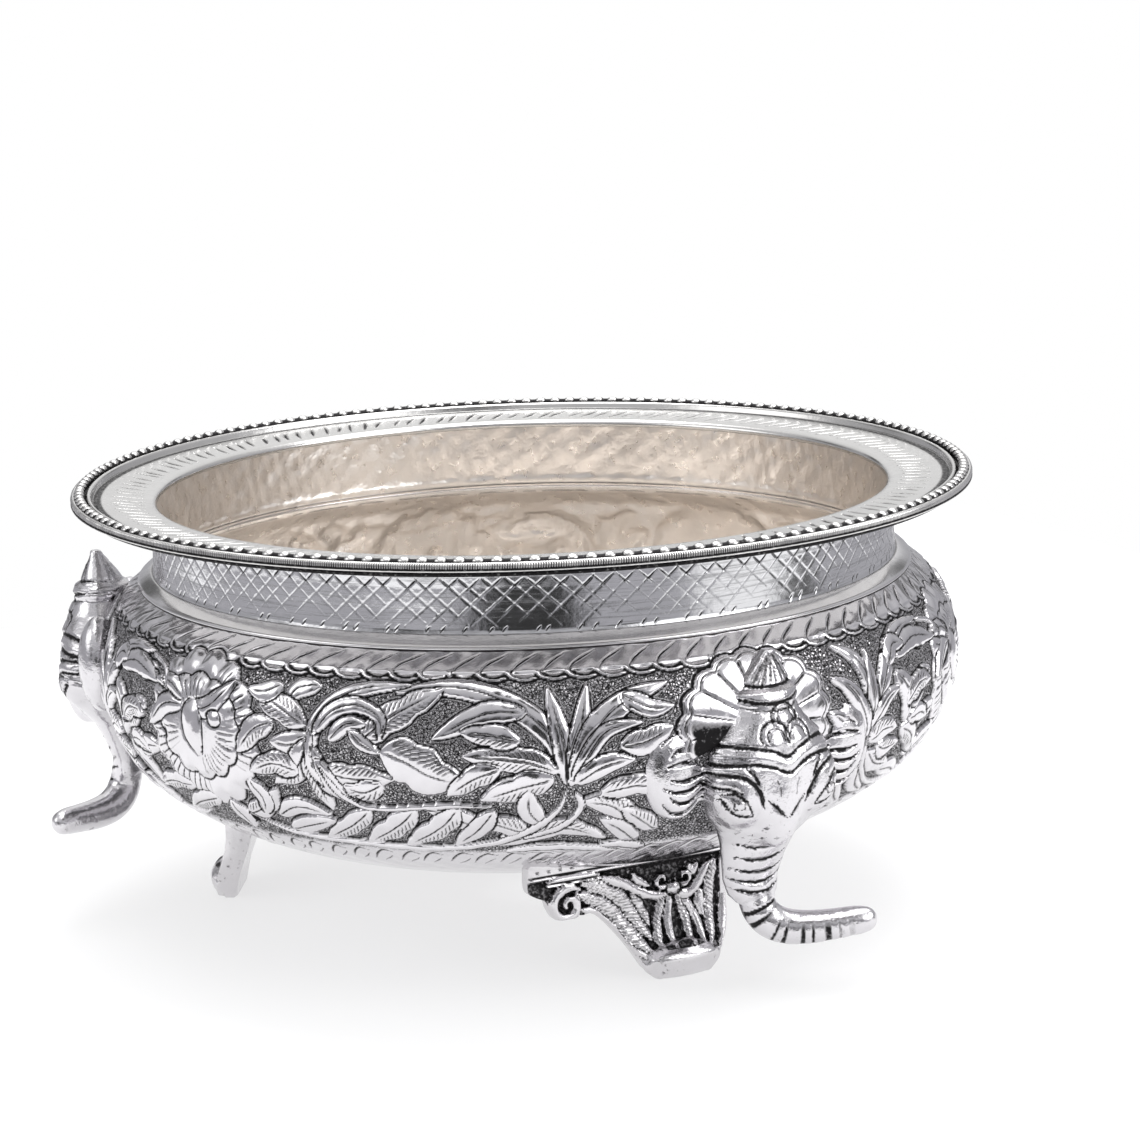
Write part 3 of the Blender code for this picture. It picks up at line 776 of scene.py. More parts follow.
# Sections of the turned rings. NECK_PROFILE is height, radius, and the others are radius, height.
NECK_PROFILE = (
    (119.2, 126.9), (121.0, 126.4), (127.0, 126.2), (134.0, 126.3), (138.0, 126.6), (140.5, 127.4), (142.4, 129.0),
)
NECK_INSIDE = (
    (125.1, 142.2), (125.0, 138.0), (124.9, 131.0), (125.0, 124.0), (124.7, 121.6), (124.9, 120.2), (126.4, 119.4),
)
LEDGE = (
    (126.7, 119.9), (127.6, 119.6), (129.3, 118.6), (130.9, 117.6), (131.7, 116.9), (131.9, 116.4),
    (131.6, 116.0), (130.6, 115.6), (127.6, 116.2), (125.2, 117.6), (124.9, 118.8), (125.4, 119.7),
)
FLANGE_INNER = (
    (124.9, 142.0), (124.3, 141.6), (123.9, 142.0), (123.95, 142.9), (124.4, 143.6), (125.2, 144.1), (126.1, 144.35),
)
FLANGE_OUTER = (
    (144.5, 145.0), (144.9, 144.95), (145.3, 145.6), (145.6, 146.7), (146.0, 147.3), (146.5, 147.45),
    (147.0, 147.2), (147.3, 146.4), (147.5, 145.2), (147.7, 144.35), (148.6, 144.3), (149.0, 143.9),
    (149.05, 143.2), (148.8, 142.7), (147.6, 142.3), (146.8, 142.4), (146.2, 143.5), (142.6, 143.8),
    (136.0, 143.4), (129.5, 142.6), (127.2, 142.2),
)
LIP = (
    # radius, height, knurling, painted shade under the rim
    (151.2, 147.5, 0.2, 0.0), (151.9, 147.45, 0.7, 0.0), (152.35, 147.1, 1.0, 0.0), (152.5, 146.6, 1.0, 0.0),
    (152.5, 146.0, 1.0, 0.15), (152.4, 145.5, 0.8, 0.95), (152.45, 145.25, 0.0, 1.0), (152.5, 144.95, 0.0, 0.25),
    (152.2, 144.6, 0.0, 0.0), (151.6, 144.5, 0.0, 0.6), (149.5, 144.6, 0.0, 0.9), (147.9, 144.7, 0.0, 0.9),
    (147.8, 145.3, 0.0, 0.9), (148.6, 145.6, 0.0, 0.9), (150.2, 145.8, 0.0, 0.9), (150.9, 146.6, 0.0, 0.9),
)


def make_neck(outside, inside):
    """Upright collar with engraved crosshatch outside and a hammered face inside."""
    around = 2 * math.pi * NECK_R
    chart = Chart((0.0, 0.0), (around, 24.0), around / 2268, wrap=True)
    random = np.random.default_rng(SEED + 1)
    lines, ticks = 117, 118
    for lean in (-1, 1):
        for k in range(lines):
            u = k * around / lines + random.uniform(-0.9, 0.9)
            top, bottom = 18.4 + random.uniform(-0.4, 0.3), 2.4 + random.uniform(-0.6, 1.8)
            if random.random() < 0.25:
                bottom += random.uniform(2.0, 6.0)
            width = random.uniform(0.3, 0.46)
            run = lean * (top - bottom) * 1.12
            middle = (u + run * 0.5 + random.uniform(-0.3, 0.3), (top + bottom) / 2)
            chart.groove(((u, top), middle, (u + run, bottom)), width, 0.11, 0.4, 0.3)
            start = ((u, top), (u + lean * 2.4, top - 2.2), (u + lean * 4.2, top - 3.8))
            chart.groove(start, width + 0.05, 0.12, 0.9, 0.4)
    for k in range(ticks):
        u = (k + 0.3 * math.sin(k * 2.7)) * around / ticks
        chart.groove(((u, 0.9), (u + 0.9, 2.0), (u + 1.9, 3.1)), 0.42, 0.2, 0.95, 0.4)
    z = NECK_PROFILE[0][0] + np.arange(chart.ny) * chart.step
    rows = np.flatnonzero(z < NECK_PROFILE[-1][0])[::-1]
    radius = np.interp(z, *zip(*NECK_PROFILE))[:, None] + chart.high
    height = np.repeat(z[:, None], chart.nx, 1)
    band = write_ring("neck_band", radius[rows], height[rows], full_turn(chart.nx), 8, outside, chart.dark[rows])

    angle = full_turn(900)
    radius, height = spun(curve(NECK_INSIDE, 6), angle.size)
    hammered = soft(height, 121, 124)
    sway = 0.07 * np.sin(angle * 61 + height * 0.7) * hammered
    sway = sway + 0.05 * np.sin(angle * 139 - height * 0.3 + np.sin(angle * 7)) * hammered
    return band, write_ring("neck_lining", radius + sway, height, angle, 8, inside, flip=False)


def make_ledge(material):
    radius, height = spun(LEDGE, 720)
    # painted shade: the ledge's underside and its top edge against the collar are darkened
    dark = np.where((height > 119.7) | (height < 116.1), 0.7, 0.0)
    return write_ring("ledge_ring", radius, height, full_turn(720), 8, material, dark, closed=True)


def make_flange(material):
    """Flat ring with curved hatch strokes, a raised ring outside and a polished edge inside."""
    around = 2 * math.pi * FLANGE_R
    chart = Chart((0.0, 123.0), (around, 145.5), around / 2200, wrap=True)
    random = np.random.default_rng(SEED + 2)
    strokes = 146
    for k in range(strokes):
        u = k * around / strokes + random.uniform(-1.1, 1.1)
        r0, r1 = 138.3 + random.uniform(-1.2, 1.4), 128.4 + random.uniform(-0.5, 1.2)
        bend = random.uniform(0.2, 1.4)
        points = ((u, r0), (u + 1.9 + bend, (r0 + r1) / 2), (u + 5.2, r1))
        chart.groove(points, random.uniform(0.6, 1.05), 0.4, 1.0, 0.45)
    columns = chart.nx
    r = 123.0 + np.arange(chart.ny) * chart.step
    keep = (r > 127.0) & (r < 144.2)
    r_top = r[keep][:, None]
    z_top = np.interp(r_top, (127.0, 132.0, 138.0, 144.2), (144.4, 144.75, 145.15, 145.4))
    inner, outer = spun(FLANGE_INNER, columns), spun(FLANGE_OUTER, columns)
    radius = np.vstack([inner[0], np.repeat(r_top, columns, 1), outer[0]])
    height = np.vstack([inner[1], z_top + chart.high[keep], outer[1]])
    groove = (outer[1] == 145.0) | (outer[1] == 144.95)
    # painted dark reflection: the ring near the outer edge of the flat top; painted shade: the outer skirt under the
    # bead row, past radius 147.55
    dark = np.vstack([
        0 * inner[0], np.maximum(chart.dark[keep], 0.85 * soft(r_top, 141.7, 142.8)),
        np.where(groove | (outer[0] > 147.55), 0.9, 0.0),
    ])
    angle = full_turn(columns)
    return write_ring("flange_ring", radius, height, angle, 8, material, dark, closed=True, flip=False)


def make_lip(material):
    """Thin edge strip with fine knurling that wears smooth on one side."""
    angle = full_turn(5112)
    radius, height = spun([row[:2] for row in LIP], angle.size)
    band, shade = (np.array([[row[i]] for row in LIP]) for i in (2, 3))
    tick = 0.5 + 0.5 * np.cos(angle * 1278 + 0.8 * np.sin(angle * 37))
    worn = 0.35 + 0.65 * soft(np.cos(angle - math.radians(310.0)), -0.2, 0.7)
    depth = band * worn * (1.0 - tick)
    # shade is painted shade from the LIP table: a dark line low on the outside and the underside beneath the beads;
    # the knurl grooves are oxide
    dark = np.clip(0.85 * soft(depth, 0.35, 0.95) + shade, 0, 1)
    return write_ring("edge_strip", radius - 0.26 * depth, height, angle, 12, material, dark, closed=True)


def make_beads(material):
    """Row of round beads on a thin wire."""
    random = np.random.default_rng(SEED + 3)
    rings, segments = 9, 14
    polar = np.linspace(0.06, math.pi - 0.06, rings)[:, None]
    turn = full_turn(segments)
    ball = (np.sin(polar) * np.cos(turn), np.sin(polar) * np.sin(turn), np.cos(polar) + 0 * turn)
    x, y, z = (part.ravel() for part in ball)
    points, faces, dark, maps = [], [], [], []
    for k in range(BEAD_COUNT):
        angle = 2 * math.pi * k / BEAD_COUNT
        size = np.array((2.2, 1.75, 1.35)) * random.uniform(0.95, 1.04)
        out = BEAD_R + random.uniform(-0.08, 0.08)
        px, py, pz = x * size[0], y * size[1], z * size[2] + BEAD_Z
        points.append(turned(px, out + py, pz, angle))
        faces.append(ring_faces(rings, segments) + k * len(x))
        # painted shade: each bead darkens over its lower part and towards its sides where it meets the next
        dark.append(soft(148.1 - pz, -0.1, 0.9) + soft(np.abs(px), 1.2, 1.9))
        island = strip_uv(rings, segments, 1, 0.0, 1.0)
        maps.append((island * 0.9 + 0.05 + np.array((k % 13, k // 13))) / np.array((13.0, 15.0)))
    sides, columns = 8, 720
    ring = full_turn(sides).T
    wire = round_points(BEAD_R + 1.45 * np.cos(ring), 147.0 - 1.25 * np.sin(ring), full_turn(columns))
    points = np.vstack([*points, wire])
    faces = np.vstack([*faces, tube_faces(sides, columns)[:, ::-1] + BEAD_COUNT * len(x)])
    # painted shade: the wire beneath the beads is painted fully dark
    dark = np.concatenate([*dark, np.full(len(wire), 1.0)])
    uv = np.vstack([*maps, strip_uv(sides + 1, columns, 8, 0.935, 0.995)])
    return write_mesh("bead_row", points, faces, np.clip(dark, 0, 1), None, uv, material)


# ---------------------------------------------------------------- elephant heads

# Shaped facing out: s across to the viewer's right, r out from the axis, z up.
HEAD_ROWS = np.array((
    # height, sideways, out, half width, half depth
    (113.0, 2.6, 147.6, 1.6, 1.4), (108.4, 1.6, 147.0, 5.2, 4.0), (104.2, 0.8, 146.6, 8.7, 6.2),
    (101.6, 0.4, 146.4, 10.2, 7.4), (100.6, 0.2, 146.4, 12.0, 9.2), (98.2, 0.0, 146.7, 12.4, 9.8),
    (96.4, -0.2, 147.0, 11.6, 9.0), (91.6, -0.3, 147.6, 14.0, 10.4), (85.5, 0.0, 148.4, 19.6, 12.0),
    (78.0, 0.2, 149.0, 22.8, 12.6), (70.0, 0.3, 148.6, 23.0, 12.2), (62.5, 0.3, 147.6, 20.2, 11.0),
    (57.0, 0.3, 146.4, 16.4, 9.2), (52.5, -0.6, 144.6, 13.4, 7.2), (46.0, -1.2, 143.0, 11.4, 5.8),
    (39.0, -1.4, 141.4, 9.9, 5.0), (34.0, -0.6, 141.2, 8.8, 5.0), (31.0, 0.0, 141.4, 6.4, 4.4),
))[::-1]
TRUNK = (
    # sideways, out, height, radius
    (-0.6, 141.4, 37.0, 4.6), (0.2, 142.2, 30.5, 5.5), (2.8, 144.0, 25.2, 5.7), (7.4, 147.0, 22.4, 5.6),
    (13.6, 150.8, 21.8, 5.3), (20.4, 154.6, 22.4, 4.9), (26.6, 157.8, 23.2, 4.6), (29.4, 159.2, 23.4, 4.1),
)


# Lines of the face: half width, depth, oxide, how far its ends taper, points of s and z.
FACE_LINES = (
    (0.85, 0.8, 1.0, 0.15, ((-9.5, 103.0), (-4, 102.2), (4, 102.2), (10, 103.2))),
    (1.0, 1.0, 1.0, 0.15, ((-12.5, 99.4), (-5, 97.6), (4, 97.6), (12, 99.4))),
    (0.6, 0.5, 0.8, 0.15, ((-11, 96.6), (-5, 95.4), (4, 95.2), (11, 96.4))),
    (0.95, 0.9, 1.0, 0.05, ((-23, 86.2), (-12, 85.2), (-5, 83.8), (0.4, 81.4), (6, 84.0), (14, 85.4), (23, 83.4))),
    (0.95, 0.9, 1.0, 0.05, ((-24, 80.4), (-12, 80.3), (-5, 78.8), (0.6, 76.4), (6.5, 79.2), (14, 80.4), (24, 78.6))),
    (0.8, -0.5, 0.0, 0.05, ((-23, 83.4), (-12, 82.8), (-5, 81.4), (0.5, 79.0), (6, 81.6), (14, 83.0), (23, 81.2))),
)
# The same on each side of the face, with s counted outwards.
SIDE_LINES = (
    (1.15, 0.9, 1.0, 0.15, ((23.5, 77.4), (18, 77.6), (12.6, 75.2), (9.4, 70.6), (7.6, 66.0))),
    (0.8, 0.6, 1.0, 0.15, ((13.6, 79.6), (11.6, 77.0), (9.6, 73.6))),
    (0.7, 0.6, 0.9, 0.15, ((24, 73.8), (19, 73.6), (15.6, 71.6))),
    (0.62, 0.7, 1.0, 0.15, ((21.8, 71.6), (18.4, 72.2), (14.4, 69.0), (11.2, 64.0))),
    (0.62, 0.7, 1.0, 0.15, ((21.8, 71.2), (18.8, 66.4), (15.4, 64.6), (11.2, 64.0))),
    (0.95, 0.6, 0.95, 0.35, ((6.6, 68.6), (3.6, 65.4), (0.3, 62.2))),
    (0.5, 0.35, 0.75, 0.35, ((4.4, 75.4), (3.2, 72.0), (2.8, 68.6))),
    (0.6, -0.35, 0.0, 0.3, ((22, 66.0), (17, 61.0), (10, 57.4))),
)


def draw_face():
    """Brow, eyes, headband, trefoil, crown flutes and trunk rings, on a chart of s and z."""
    chart = Chart((-52.0, 10.0), (52.0, 116.0), 0.5)
    for s in (-6.2, -3.4, -0.6, 2.2, 5.0, 7.4):
        chart.groove(((s, 102.4), (s * 0.6 + 1.0, 106.5), (2.6 + (s - 2.6) * 0.12, 111.6)), 0.7, 0.7, 0.75, 0.2)
    for wide, deep, dark, ends, points in FACE_LINES:
        chart.groove(points, wide, deep, dark, ends)
    for s, z in ((2.0, 92.4), (-2.8, 87.4), (5.6, 87.0)):
        for radius, wide in ((4.8, 0.8), (2.9, 0.5)):
            angle = np.linspace(-0.5, math.pi + 0.5, 9)
            ring = [(s + radius * math.cos(a), z + radius * math.sin(a)) for a in angle]
            chart.groove(ring, wide * 0.85, 0.8, 0.9, 0.1)
    for s, z in ((2.0, 92.0), (-2.8, 86.8), (5.6, 86.4)):
        where, x, y = chart.patch((s - 3, z - 3), (s + 3, z + 3))
        chart.high[where] += 0.7 * np.sqrt(np.clip(1 - ((x - s) / 2.4) ** 2 - ((y - z) / 2.6) ** 2, 0, 1))
    for z in (50.6, 46.2, 42.0, 38.4, 35.2):
        chart.groove(((-11.0, z + 2.0), (-5, z + 0.2), (1, z), (5.5, z + 1.0), (7.5, z + 2.0)), 0.8, 0.9, 1.0, 0.35)
    for side in (-1, 1):
        for wide, deep, dark, ends, points in SIDE_LINES:
            chart.groove([(side * s, z) for s, z in points], wide, deep, dark, ends)
        where, x, y = chart.patch((side * 16.8 - 6, 62.5), (side * 16.8 + 6, 74))
        bulge = np.clip(1 - ((x - side * 16.8) / 3.4) ** 2 - ((y - 68.4) / 2.9) ** 2, 0, 1)
        chart.high[where] += 0.9 * np.sqrt(bulge)
        ring = [(side * 16.9 + 1.7 * math.cos(a), 68.6 + 1.7 * math.sin(a)) for a in np.linspace(0, 2 * np.pi, 9)]
        chart.groove(ring, 0.4, 0.35, 0.85, 0.01)
        draw_ear(chart, side)
    return chart


def draw_ear(chart, side):
    """Nested curved folds of one ear, drawn together where they meet the head."""
    folds = ((-13.6, 0.7), (-10.2, 0.85), (-6.4, 1.0), (-2.6, 1.0), (3.0, 1.0), (7.0, 0.9), (12.4, 1.0))
    for k, (lift, dark) in enumerate(folds):
        reach = 5.6 - 1.6 * (k % 2)
        rows = ((reach, 0.72), (reach - 3.0, 0.94), (-1.5, 1.0), (-5.0, 0.88), (-8.5, 0.6))
        points = [(side * (30.8 + out), 79.0 + lift * part) for out, part in rows]
        chart.groove(points, 1.0, 1.1, dark, 0.5)


def trunk_distance(s, r, z):
    """Distance to the curled trunk, and the distance along it."""
    line = curve([t[:3] for t in TRUNK], 4)
    radii = curve([(t[3], 0.0) for t in TRUNK], 4)[:, 0]
    best = np.full(np.broadcast(s, r, z).shape, 1e9)
    along = np.zeros(best.shape)
    outer = np.zeros(best.shape)
    start = 0.0
    for p, q, rp, rq in zip(line, line[1:], radii, radii[1:]):
        span = q - p
        length = np.linalg.norm(span)
        d = span / length
        t = np.clip((s - p[0]) * d[0] + (r - p[1]) * d[1] + (z - p[2]) * d[2], 0, length)
        off_s, off_r = s - p[0] - t * d[0], r - p[1] - t * d[1]
        away = np.sqrt(off_s ** 2 + off_r ** 2 + (z - p[2] - t * d[2]) ** 2)
        gap = away - (rp + (rq - rp) * t / length)
        near = gap < best
        best = np.where(near, gap, best)
        along = np.where(near, start + t, along)
        facing = soft((0.92 * off_r - 0.4 * off_s) / (away + 1e-6), 0.05, 0.4)
        above = soft((z - p[2] - t * d[2]) / (away + 1e-6), 0.1, 0.6) * soft(start + t, 9.0, 14.0)
        outer = np.where(near, facing * (1.0 - above), outer)
        start += length
    return best, along, outer


def trunk_rings(along):
    """Narrow grooves across the trunk, unevenly about 4 mm apart."""
    pitch = along / 4.0 + 0.18 * np.sin(along * 0.7)
    wave = np.abs(pitch - np.round(pitch)) * 4.0
    return fade(wave, 0.3, 0.95) * soft(along, 3.0, 5.0) * fade(along, 43.5, 45.0)


def head_field(step):
    """Field of one head on a grid, with its oxide chart."""
    low = np.array((-47.0, 128.0, 12.0))
    s, r, z = box_axes(low, (92.0, 37.5, 103.0), step)
    chart = draw_face()
    relief = chart.high[np.ix_(*chart.cells(s, z))].T[:, None, :]
    s, r, z = s[:, None, None], r[None, :, None], z[None, None, :]
    across, out, wide, deep = (np.interp(z, HEAD_ROWS[:, 0], HEAD_ROWS[:, i]) for i in range(1, 5))
    k = np.sqrt(((s - across) / wide) ** 2 + ((r - out) / deep) ** 2)
    field = (k - 1.0) * np.minimum(wide, deep)
    field = np.maximum(field, np.maximum(z - 112.6, 31.0 - z))
    for side in (-1, 1):
        ear = ellipsoid(s, r, z, (side * 30.4, 142.6, 79.2), (11.2, 7.4, 16.6), side * 6.0)
        field = join_soft(field, ear, 2.0)
        cheek = ellipsoid(s, r, z, (side * 13.5, 154.0, 71.0), (8.2, 6.4, 10.0))
        field = join_soft(field, cheek, 3.0)
    bridge = ellipsoid(s, r, z, (0.2, 153.6, 68.0), (8.0, 8.0, 17.0))
    field = join_soft(field, bridge, 3.0)
    field = field - relief * soft(r, 140.0, 144.0) * (0.55 + 0.45 * soft(np.abs(s), 22.0, 25.0))
    first, last = int(30 / step), int(34 / step)
    gap, along, outer = trunk_distance(s[first:], r, z[:, :, :last])
    gap = gap + 0.3 * trunk_rings(along) * outer
    field[first:, :, :last] = join_soft(field[first:, :, :last], gap, 1.6)
    return field, low, chart


def planar_uv(points, normals, faces, low, size):
    """Four flat islands: front, back and the two sides, for the corners of each face."""
    s, r, z = ((points[:, i] - low[i]) / size[i] for i in range(3))
    islands = ((0.01, 0.58, s), (0.61, 0.17, s), (0.80, 0.09, r), (0.90, 0.09, r))
    maps = np.stack([np.stack([start + wide * across, 0.01 + 0.98 * z], -1) for start, wide, across in islands])
    across, out = normals[faces].mean(axis=1)[:, :2].T
    pick = np.where(across > 0.75, 2, np.where(across < -0.75, 3, np.where(out >= 0, 0, 1)))
    return maps[pick[:, None], faces]


def box_axes(low, size, step):
    """Grid coordinates along s, r and z of a box."""
    return [start + np.arange(int(length / step)) * step for start, length in zip(low, size)]


def carved(name, field, low, step, place, shade, material):
    """Mesh of a field after its seat on the bowl is cut, at its turn, lift and distance out."""
    turn, lift, out = place
    s, r, z = (low[i] + np.arange(field.shape[i]) * step for i in range(3))
    radius = np.sqrt(s[:, None, None] ** 2 + (r[None, :, None] + out) ** 2)
    seat = outside_belly(radius, z[None, None, :] + lift) + SEAT_DEPTH
    seated = np.maximum(field, -seat)
    points, faces = surface_net(seated, low, step)
    points, normals = settle(seated, low, step, points)
    dark = shade(points, normals, faces)
    uv = planar_uv(points, normals, faces, low, np.array(field.shape) * step)
    world = turned(points[:, 0], points[:, 1] + out, points[:, 2] + lift, math.radians(turn))
    return write_mesh(name, world, faces[:, ::-1], dark, None, uv[:, ::-1], material)


def make_heads(material):
    step = 0.55
    field, low, chart = head_field(step)

    def shade(points, normals, faces):
        s, r, z = points.T
        drawn = chart.dark[chart.cells(s, z)] * soft(r, 141.0, 144.5) * soft(normals[:, 1], -0.2, 0.15)
        drawn = np.where(z > 31.5, drawn, 0.0)
        curl = z < 38.0
        gap, along, outer = trunk_distance(s[curl], r[curl], z[curl])
        rings = trunk_rings(along) * fade(gap, 0.6, 1.6) * outer * (1.0 - 0.7 * soft(along, 30.0, 40.0))
        drawn[curl] = np.maximum(drawn[curl], rings)
        cavity = soft(hollows(points, faces, normals), 0.08, 0.26)
        return np.clip(np.maximum(drawn, cavity), 0, 1)

    return [
        carved(f"elephant_casting_{number}", field, low, step, place, shade, material)
        for number, place in enumerate(HEADS, 1)
    ]


# ---------------------------------------------------------------- feet

# Outline of the plate, down its long wing and up its short side: s, z.
WING = (
    (-50.5, 41.5), (-50.5, 34.0), (-48.0, 31.6), (-44.6, 29.8), (-43.4, 26.6), (-41.4, 23.4), (-37.2, 21.4),
    (-32.8, 22.6), (-29.0, 23.4), (-25.0, 20.6), (-21.0, 16.0), (-17.6, 11.4), (-15.2, 7.6), (-12.6, 3.4), (-9.8, 0.6),
    (-8.0, -2.0),
)
SHORT_SIDE = (
    (19.6, 41.5), (19.6, 34.0), (19.8, 28.0), (19.4, 21.0), (18.8, 15.0), (17.2, 10.6), (15.4, 7.2), (13.2, 3.4),
    (10.6, 0.6), (9.0, -2.0),
)


RIBS = (
    # half width, rope hatch, points
    (1.3, 0, ((-44.5, 35.6), (-39.0, 36.2), (-31.0, 35.9), (-24.0, 34.9))),
    (1.6, 0, ((-32, 25.4), (-26.5, 23.4), (-20.5, 17.6), (-15.8, 11.4), (-11.0, 7.4))),
    (1.9, 1, ((-34, 30.6), (-28.0, 28.4), (-21.4, 22.6), (-15.8, 14.8), (-10.8, 9.2))),
    (1.9, 1, ((-31.5, 33.6), (-23.8, 31.0), (-17.6, 25.6), (-13.0, 18.6), (-9.8, 13.0))),
    (1.35, 0, ((-24.5, 34.6), (-18.0, 32.0), (-11.0, 27.4), (-4.6, 25.6), (-0.6, 27.4))),
    (1.2, 1, ((-14.6, 27.4), (-11.6, 22.6), (-9.6, 17.2))),
    (1.0, 0, ((-14.8, 34.6), (-12.4, 32.0), (-8.6, 29.6))),
    (1.2, 1, ((-3.8, 24.4), (-6.2, 18.6), (-7.0, 12.2), (-6.4, 9.4))),
    (1.2, 0, ((-1.2, 25.0), (-2.6, 18.0), (-2.4, 10.2))),
    (1.2, 1, ((1.4, 25.0), (3.4, 18.0), (4.2, 10.0))),
    (1.1, 0, ((3.2, 24.4), (6.6, 18.6), (8.6, 11.0), (8.8, 9.4))),
    (1.3, 0, ((0.6, 27.4), (4.4, 24.8), (8.0, 26.6), (11.4, 31.6), (15.0, 34.4))),
    (1.3, 0, ((9.8, 25.0), (9.2, 21.0), (10.6, 16.6))),
    (1.4, 1, ((15.2, 34.4), (13.4, 28.0), (12.4, 20.0), (11.8, 11.0), (11.2, 8.6))),
    (1.6, 0, ((18.6, 37.0), (18.7, 28.0), (18.2, 20.0), (16.6, 12.0), (14.6, 7.6))),
    (0.9, 0, ((5.4, 34.6), (7.0, 31.6), (8.6, 34.6))),
)


TOE = (
    # centre and half size of each ball: the toe, its lip and its pad
    ((0.0, 109.0, 5.0), (13.4, 5.2, 6.2)), ((0.0, 111.8, 6.6), (11.0, 2.2, 2.2)),
    ((1.5, 109.6, 8.6), (5.0, 2.6, 3.0)),
)


def spiral(centre, radius, count, start, step, shrink):
    """Points of a scroll that winds inwards."""
    rows = [(start + k * step, radius * (1.0 - k / shrink)) for k in range(count)]
    return [(centre[0] + reach * math.cos(a), centre[1] + reach * math.sin(a)) for a, reach in rows]


def draw_foot():
    """Volutes, rope-edged ribs, small scrolls and a fan of leaves, on a chart of s and z."""
    chart = Chart((-56.0, -4.0), (56.0, 48.0), 0.4)
    z = (-4.0 + np.arange(chart.ny) * chart.step)[:, None]
    top, low = soft(z, 36.6, 37.4), fade(z, 7.4, 8.8)
    chart.high += -0.9 + 1.6 * top + 0.9 * low
    chart.dark += 0.82 * (1.0 - top) * (1.0 - low)
    for wide, rope, points in RIBS:
        chart.ridge(points, 1.32 * wide, 1.3, -0.9, 0.25, 0.45)
        if rope:
            hatch(chart, points, 1.32 * wide)
    chart.ridge(spiral((-37.2, 27.6), 6.3, 22, 0.9, 0.42, 25.0), 1.6, 1.6, -0.7, 0.3, 0.5)
    for side in (-1, 1):
        scroll = spiral((3.9, 30.6), 3.0, 14, -1.4 - math.pi / 2, 0.5, 17.0)
        chart.ridge([(side * s, z) for s, z in scroll], 0.75, 1.4, -0.7, 0.3, 0.5)
    chart.blob((0.0, 27.4), (2.4, 2.0), 1.6, -0.9)
    for level, deep in ((38.4, 0.8), (35.9, 0.7)):
        chart.groove(((-52, level), (0, level), (52, level)), 0.55, deep, 1.0, 0.02)
    for k in range(-12, 13):
        chart.groove(((k * 4.0 - 1.0, 40.2), (k * 4.0, 40.2), (k * 4.0 + 1.0, 40.2)), 0.4, 0.25, 0.8, 0.2)
    return chart


def hatch(chart, points, wide):
    """Rope marks across a rib."""
    line = curve(points)
    where, x, y = chart.around(line, wide)
    d, side, t, length = nearest(x, y, line)
    phase = (t * length + side * d * 0.7) / 1.35
    wave = np.abs(phase - np.round(phase))
    marks = fade(wave, 0.12, 0.3) * (d < wide * 0.92)
    chart.high[where] -= 0.3 * marks
    chart.dark[where] = np.maximum(chart.dark[where], 0.6 * marks)


def outline_distance(s, z):
    """Distance outside the plate's outline in the s-z plane."""
    s, z = np.broadcast_arrays(s, z)
    wing, side = curve(WING, 4), curve(SHORT_SIDE, 4)
    best = np.minimum(nearest(s, z, wing)[0], nearest(s, z, side)[0])
    inside = (s > np.interp(z, wing[::-1, 1], wing[::-1, 0])) & (s < np.interp(z, side[::-1, 1], side[::-1, 0]))
    return np.where(inside & (z < 44.0), -best, best)


def foot_field(step):
    """Field of one foot on a grid, with its oxide chart."""
    low = np.array((-54.0, 70.0, -3.0))
    s, r, z = box_axes(low, (108.0, 48.0, 50.0), step)
    plane = outline_distance(s[:, None], z[None, :])[:, None, :]
    chart = draw_foot()
    relief = chart.high[np.ix_(*chart.cells(s, z))].T[:, None, :]
    s, r, z = s[:, None, None], r[None, :, None], z[None, None, :]
    levels = (0, 5, 9, 14, 18.7, 23, 34, 36, 44)
    front = np.interp(z, levels, (111, 110.2, 108.4, 106.4, 105, 104.2, 104.2, 104.6, 105.2))
    front = front + relief * soft(-plane, 0.0, 1.0)
    back = np.interp(z, (0, 9, 14, 23, 44), (104.0, 102.6, 101.2, 99.2, 98.6))
    slab = np.maximum(r - front, back - r)
    field = -join_soft(-slab, -plane, 1.2)
    levels = (3, 18, 43)
    left, right = np.interp(z, levels, (-9.0, -8.0, -9.0)), np.interp(z, levels, (12.6, 18.6, 19.3))
    near, far = np.interp(z, levels, (108, 103, 102)), np.interp(z, levels, (104.4, 98.4, 90.5))
    stay = np.maximum(np.maximum(left - s, s - right), np.maximum(r - near, far - r))
    field = join_soft(field, stay, 1.5)
    for centre, half in TOE:
        field = join_soft(field, ellipsoid(s, r, z, centre, half), 1.4)
    return np.maximum(field, -z), low, chart


def make_feet(material):
    step = 0.5
    field, low, chart = foot_field(step)

    def shade(points, normals, faces):
        s, r, z = points.T
        drawn = chart.dark[chart.cells(s, z)] * soft(r, 100.5, 102.0) * soft(normals[:, 1], 0.1, 0.4)
        drawn = np.where((z < 9.5) & (r > 109.5), 0.0, drawn)
        cavity = soft(hollows(points, faces, normals), 0.05, 0.2)
        return np.clip(np.maximum(drawn, cavity * (z > 0.5)), 0, 1)

    return [
        carved(f"foot_casting_{number}", field, low, step, (turn, 0.0, 0.0), shade, material)
        for number, turn in enumerate(FOOT_TURNS, 1)
    ]


# ---------------------------------------------------------------- stage, light and camera

def aim(place, target, roll=0.0):
    """World matrix that looks from a place to a target, in metres."""
    place, target = Vector(place), Vector(target)
    ahead = (target - place).normalized()
    across = ahead.cross(Vector((0, 0, 1))).normalized()
    up = across.cross(ahead)
    turn = math.radians(roll)
    x = across * math.cos(turn) + up * math.sin(turn)
    y = up * math.cos(turn) - across * math.sin(turn)
    matrix = Matrix((x, y, -ahead)).transposed().to_4x4()
    matrix.translation = place
    return matrix


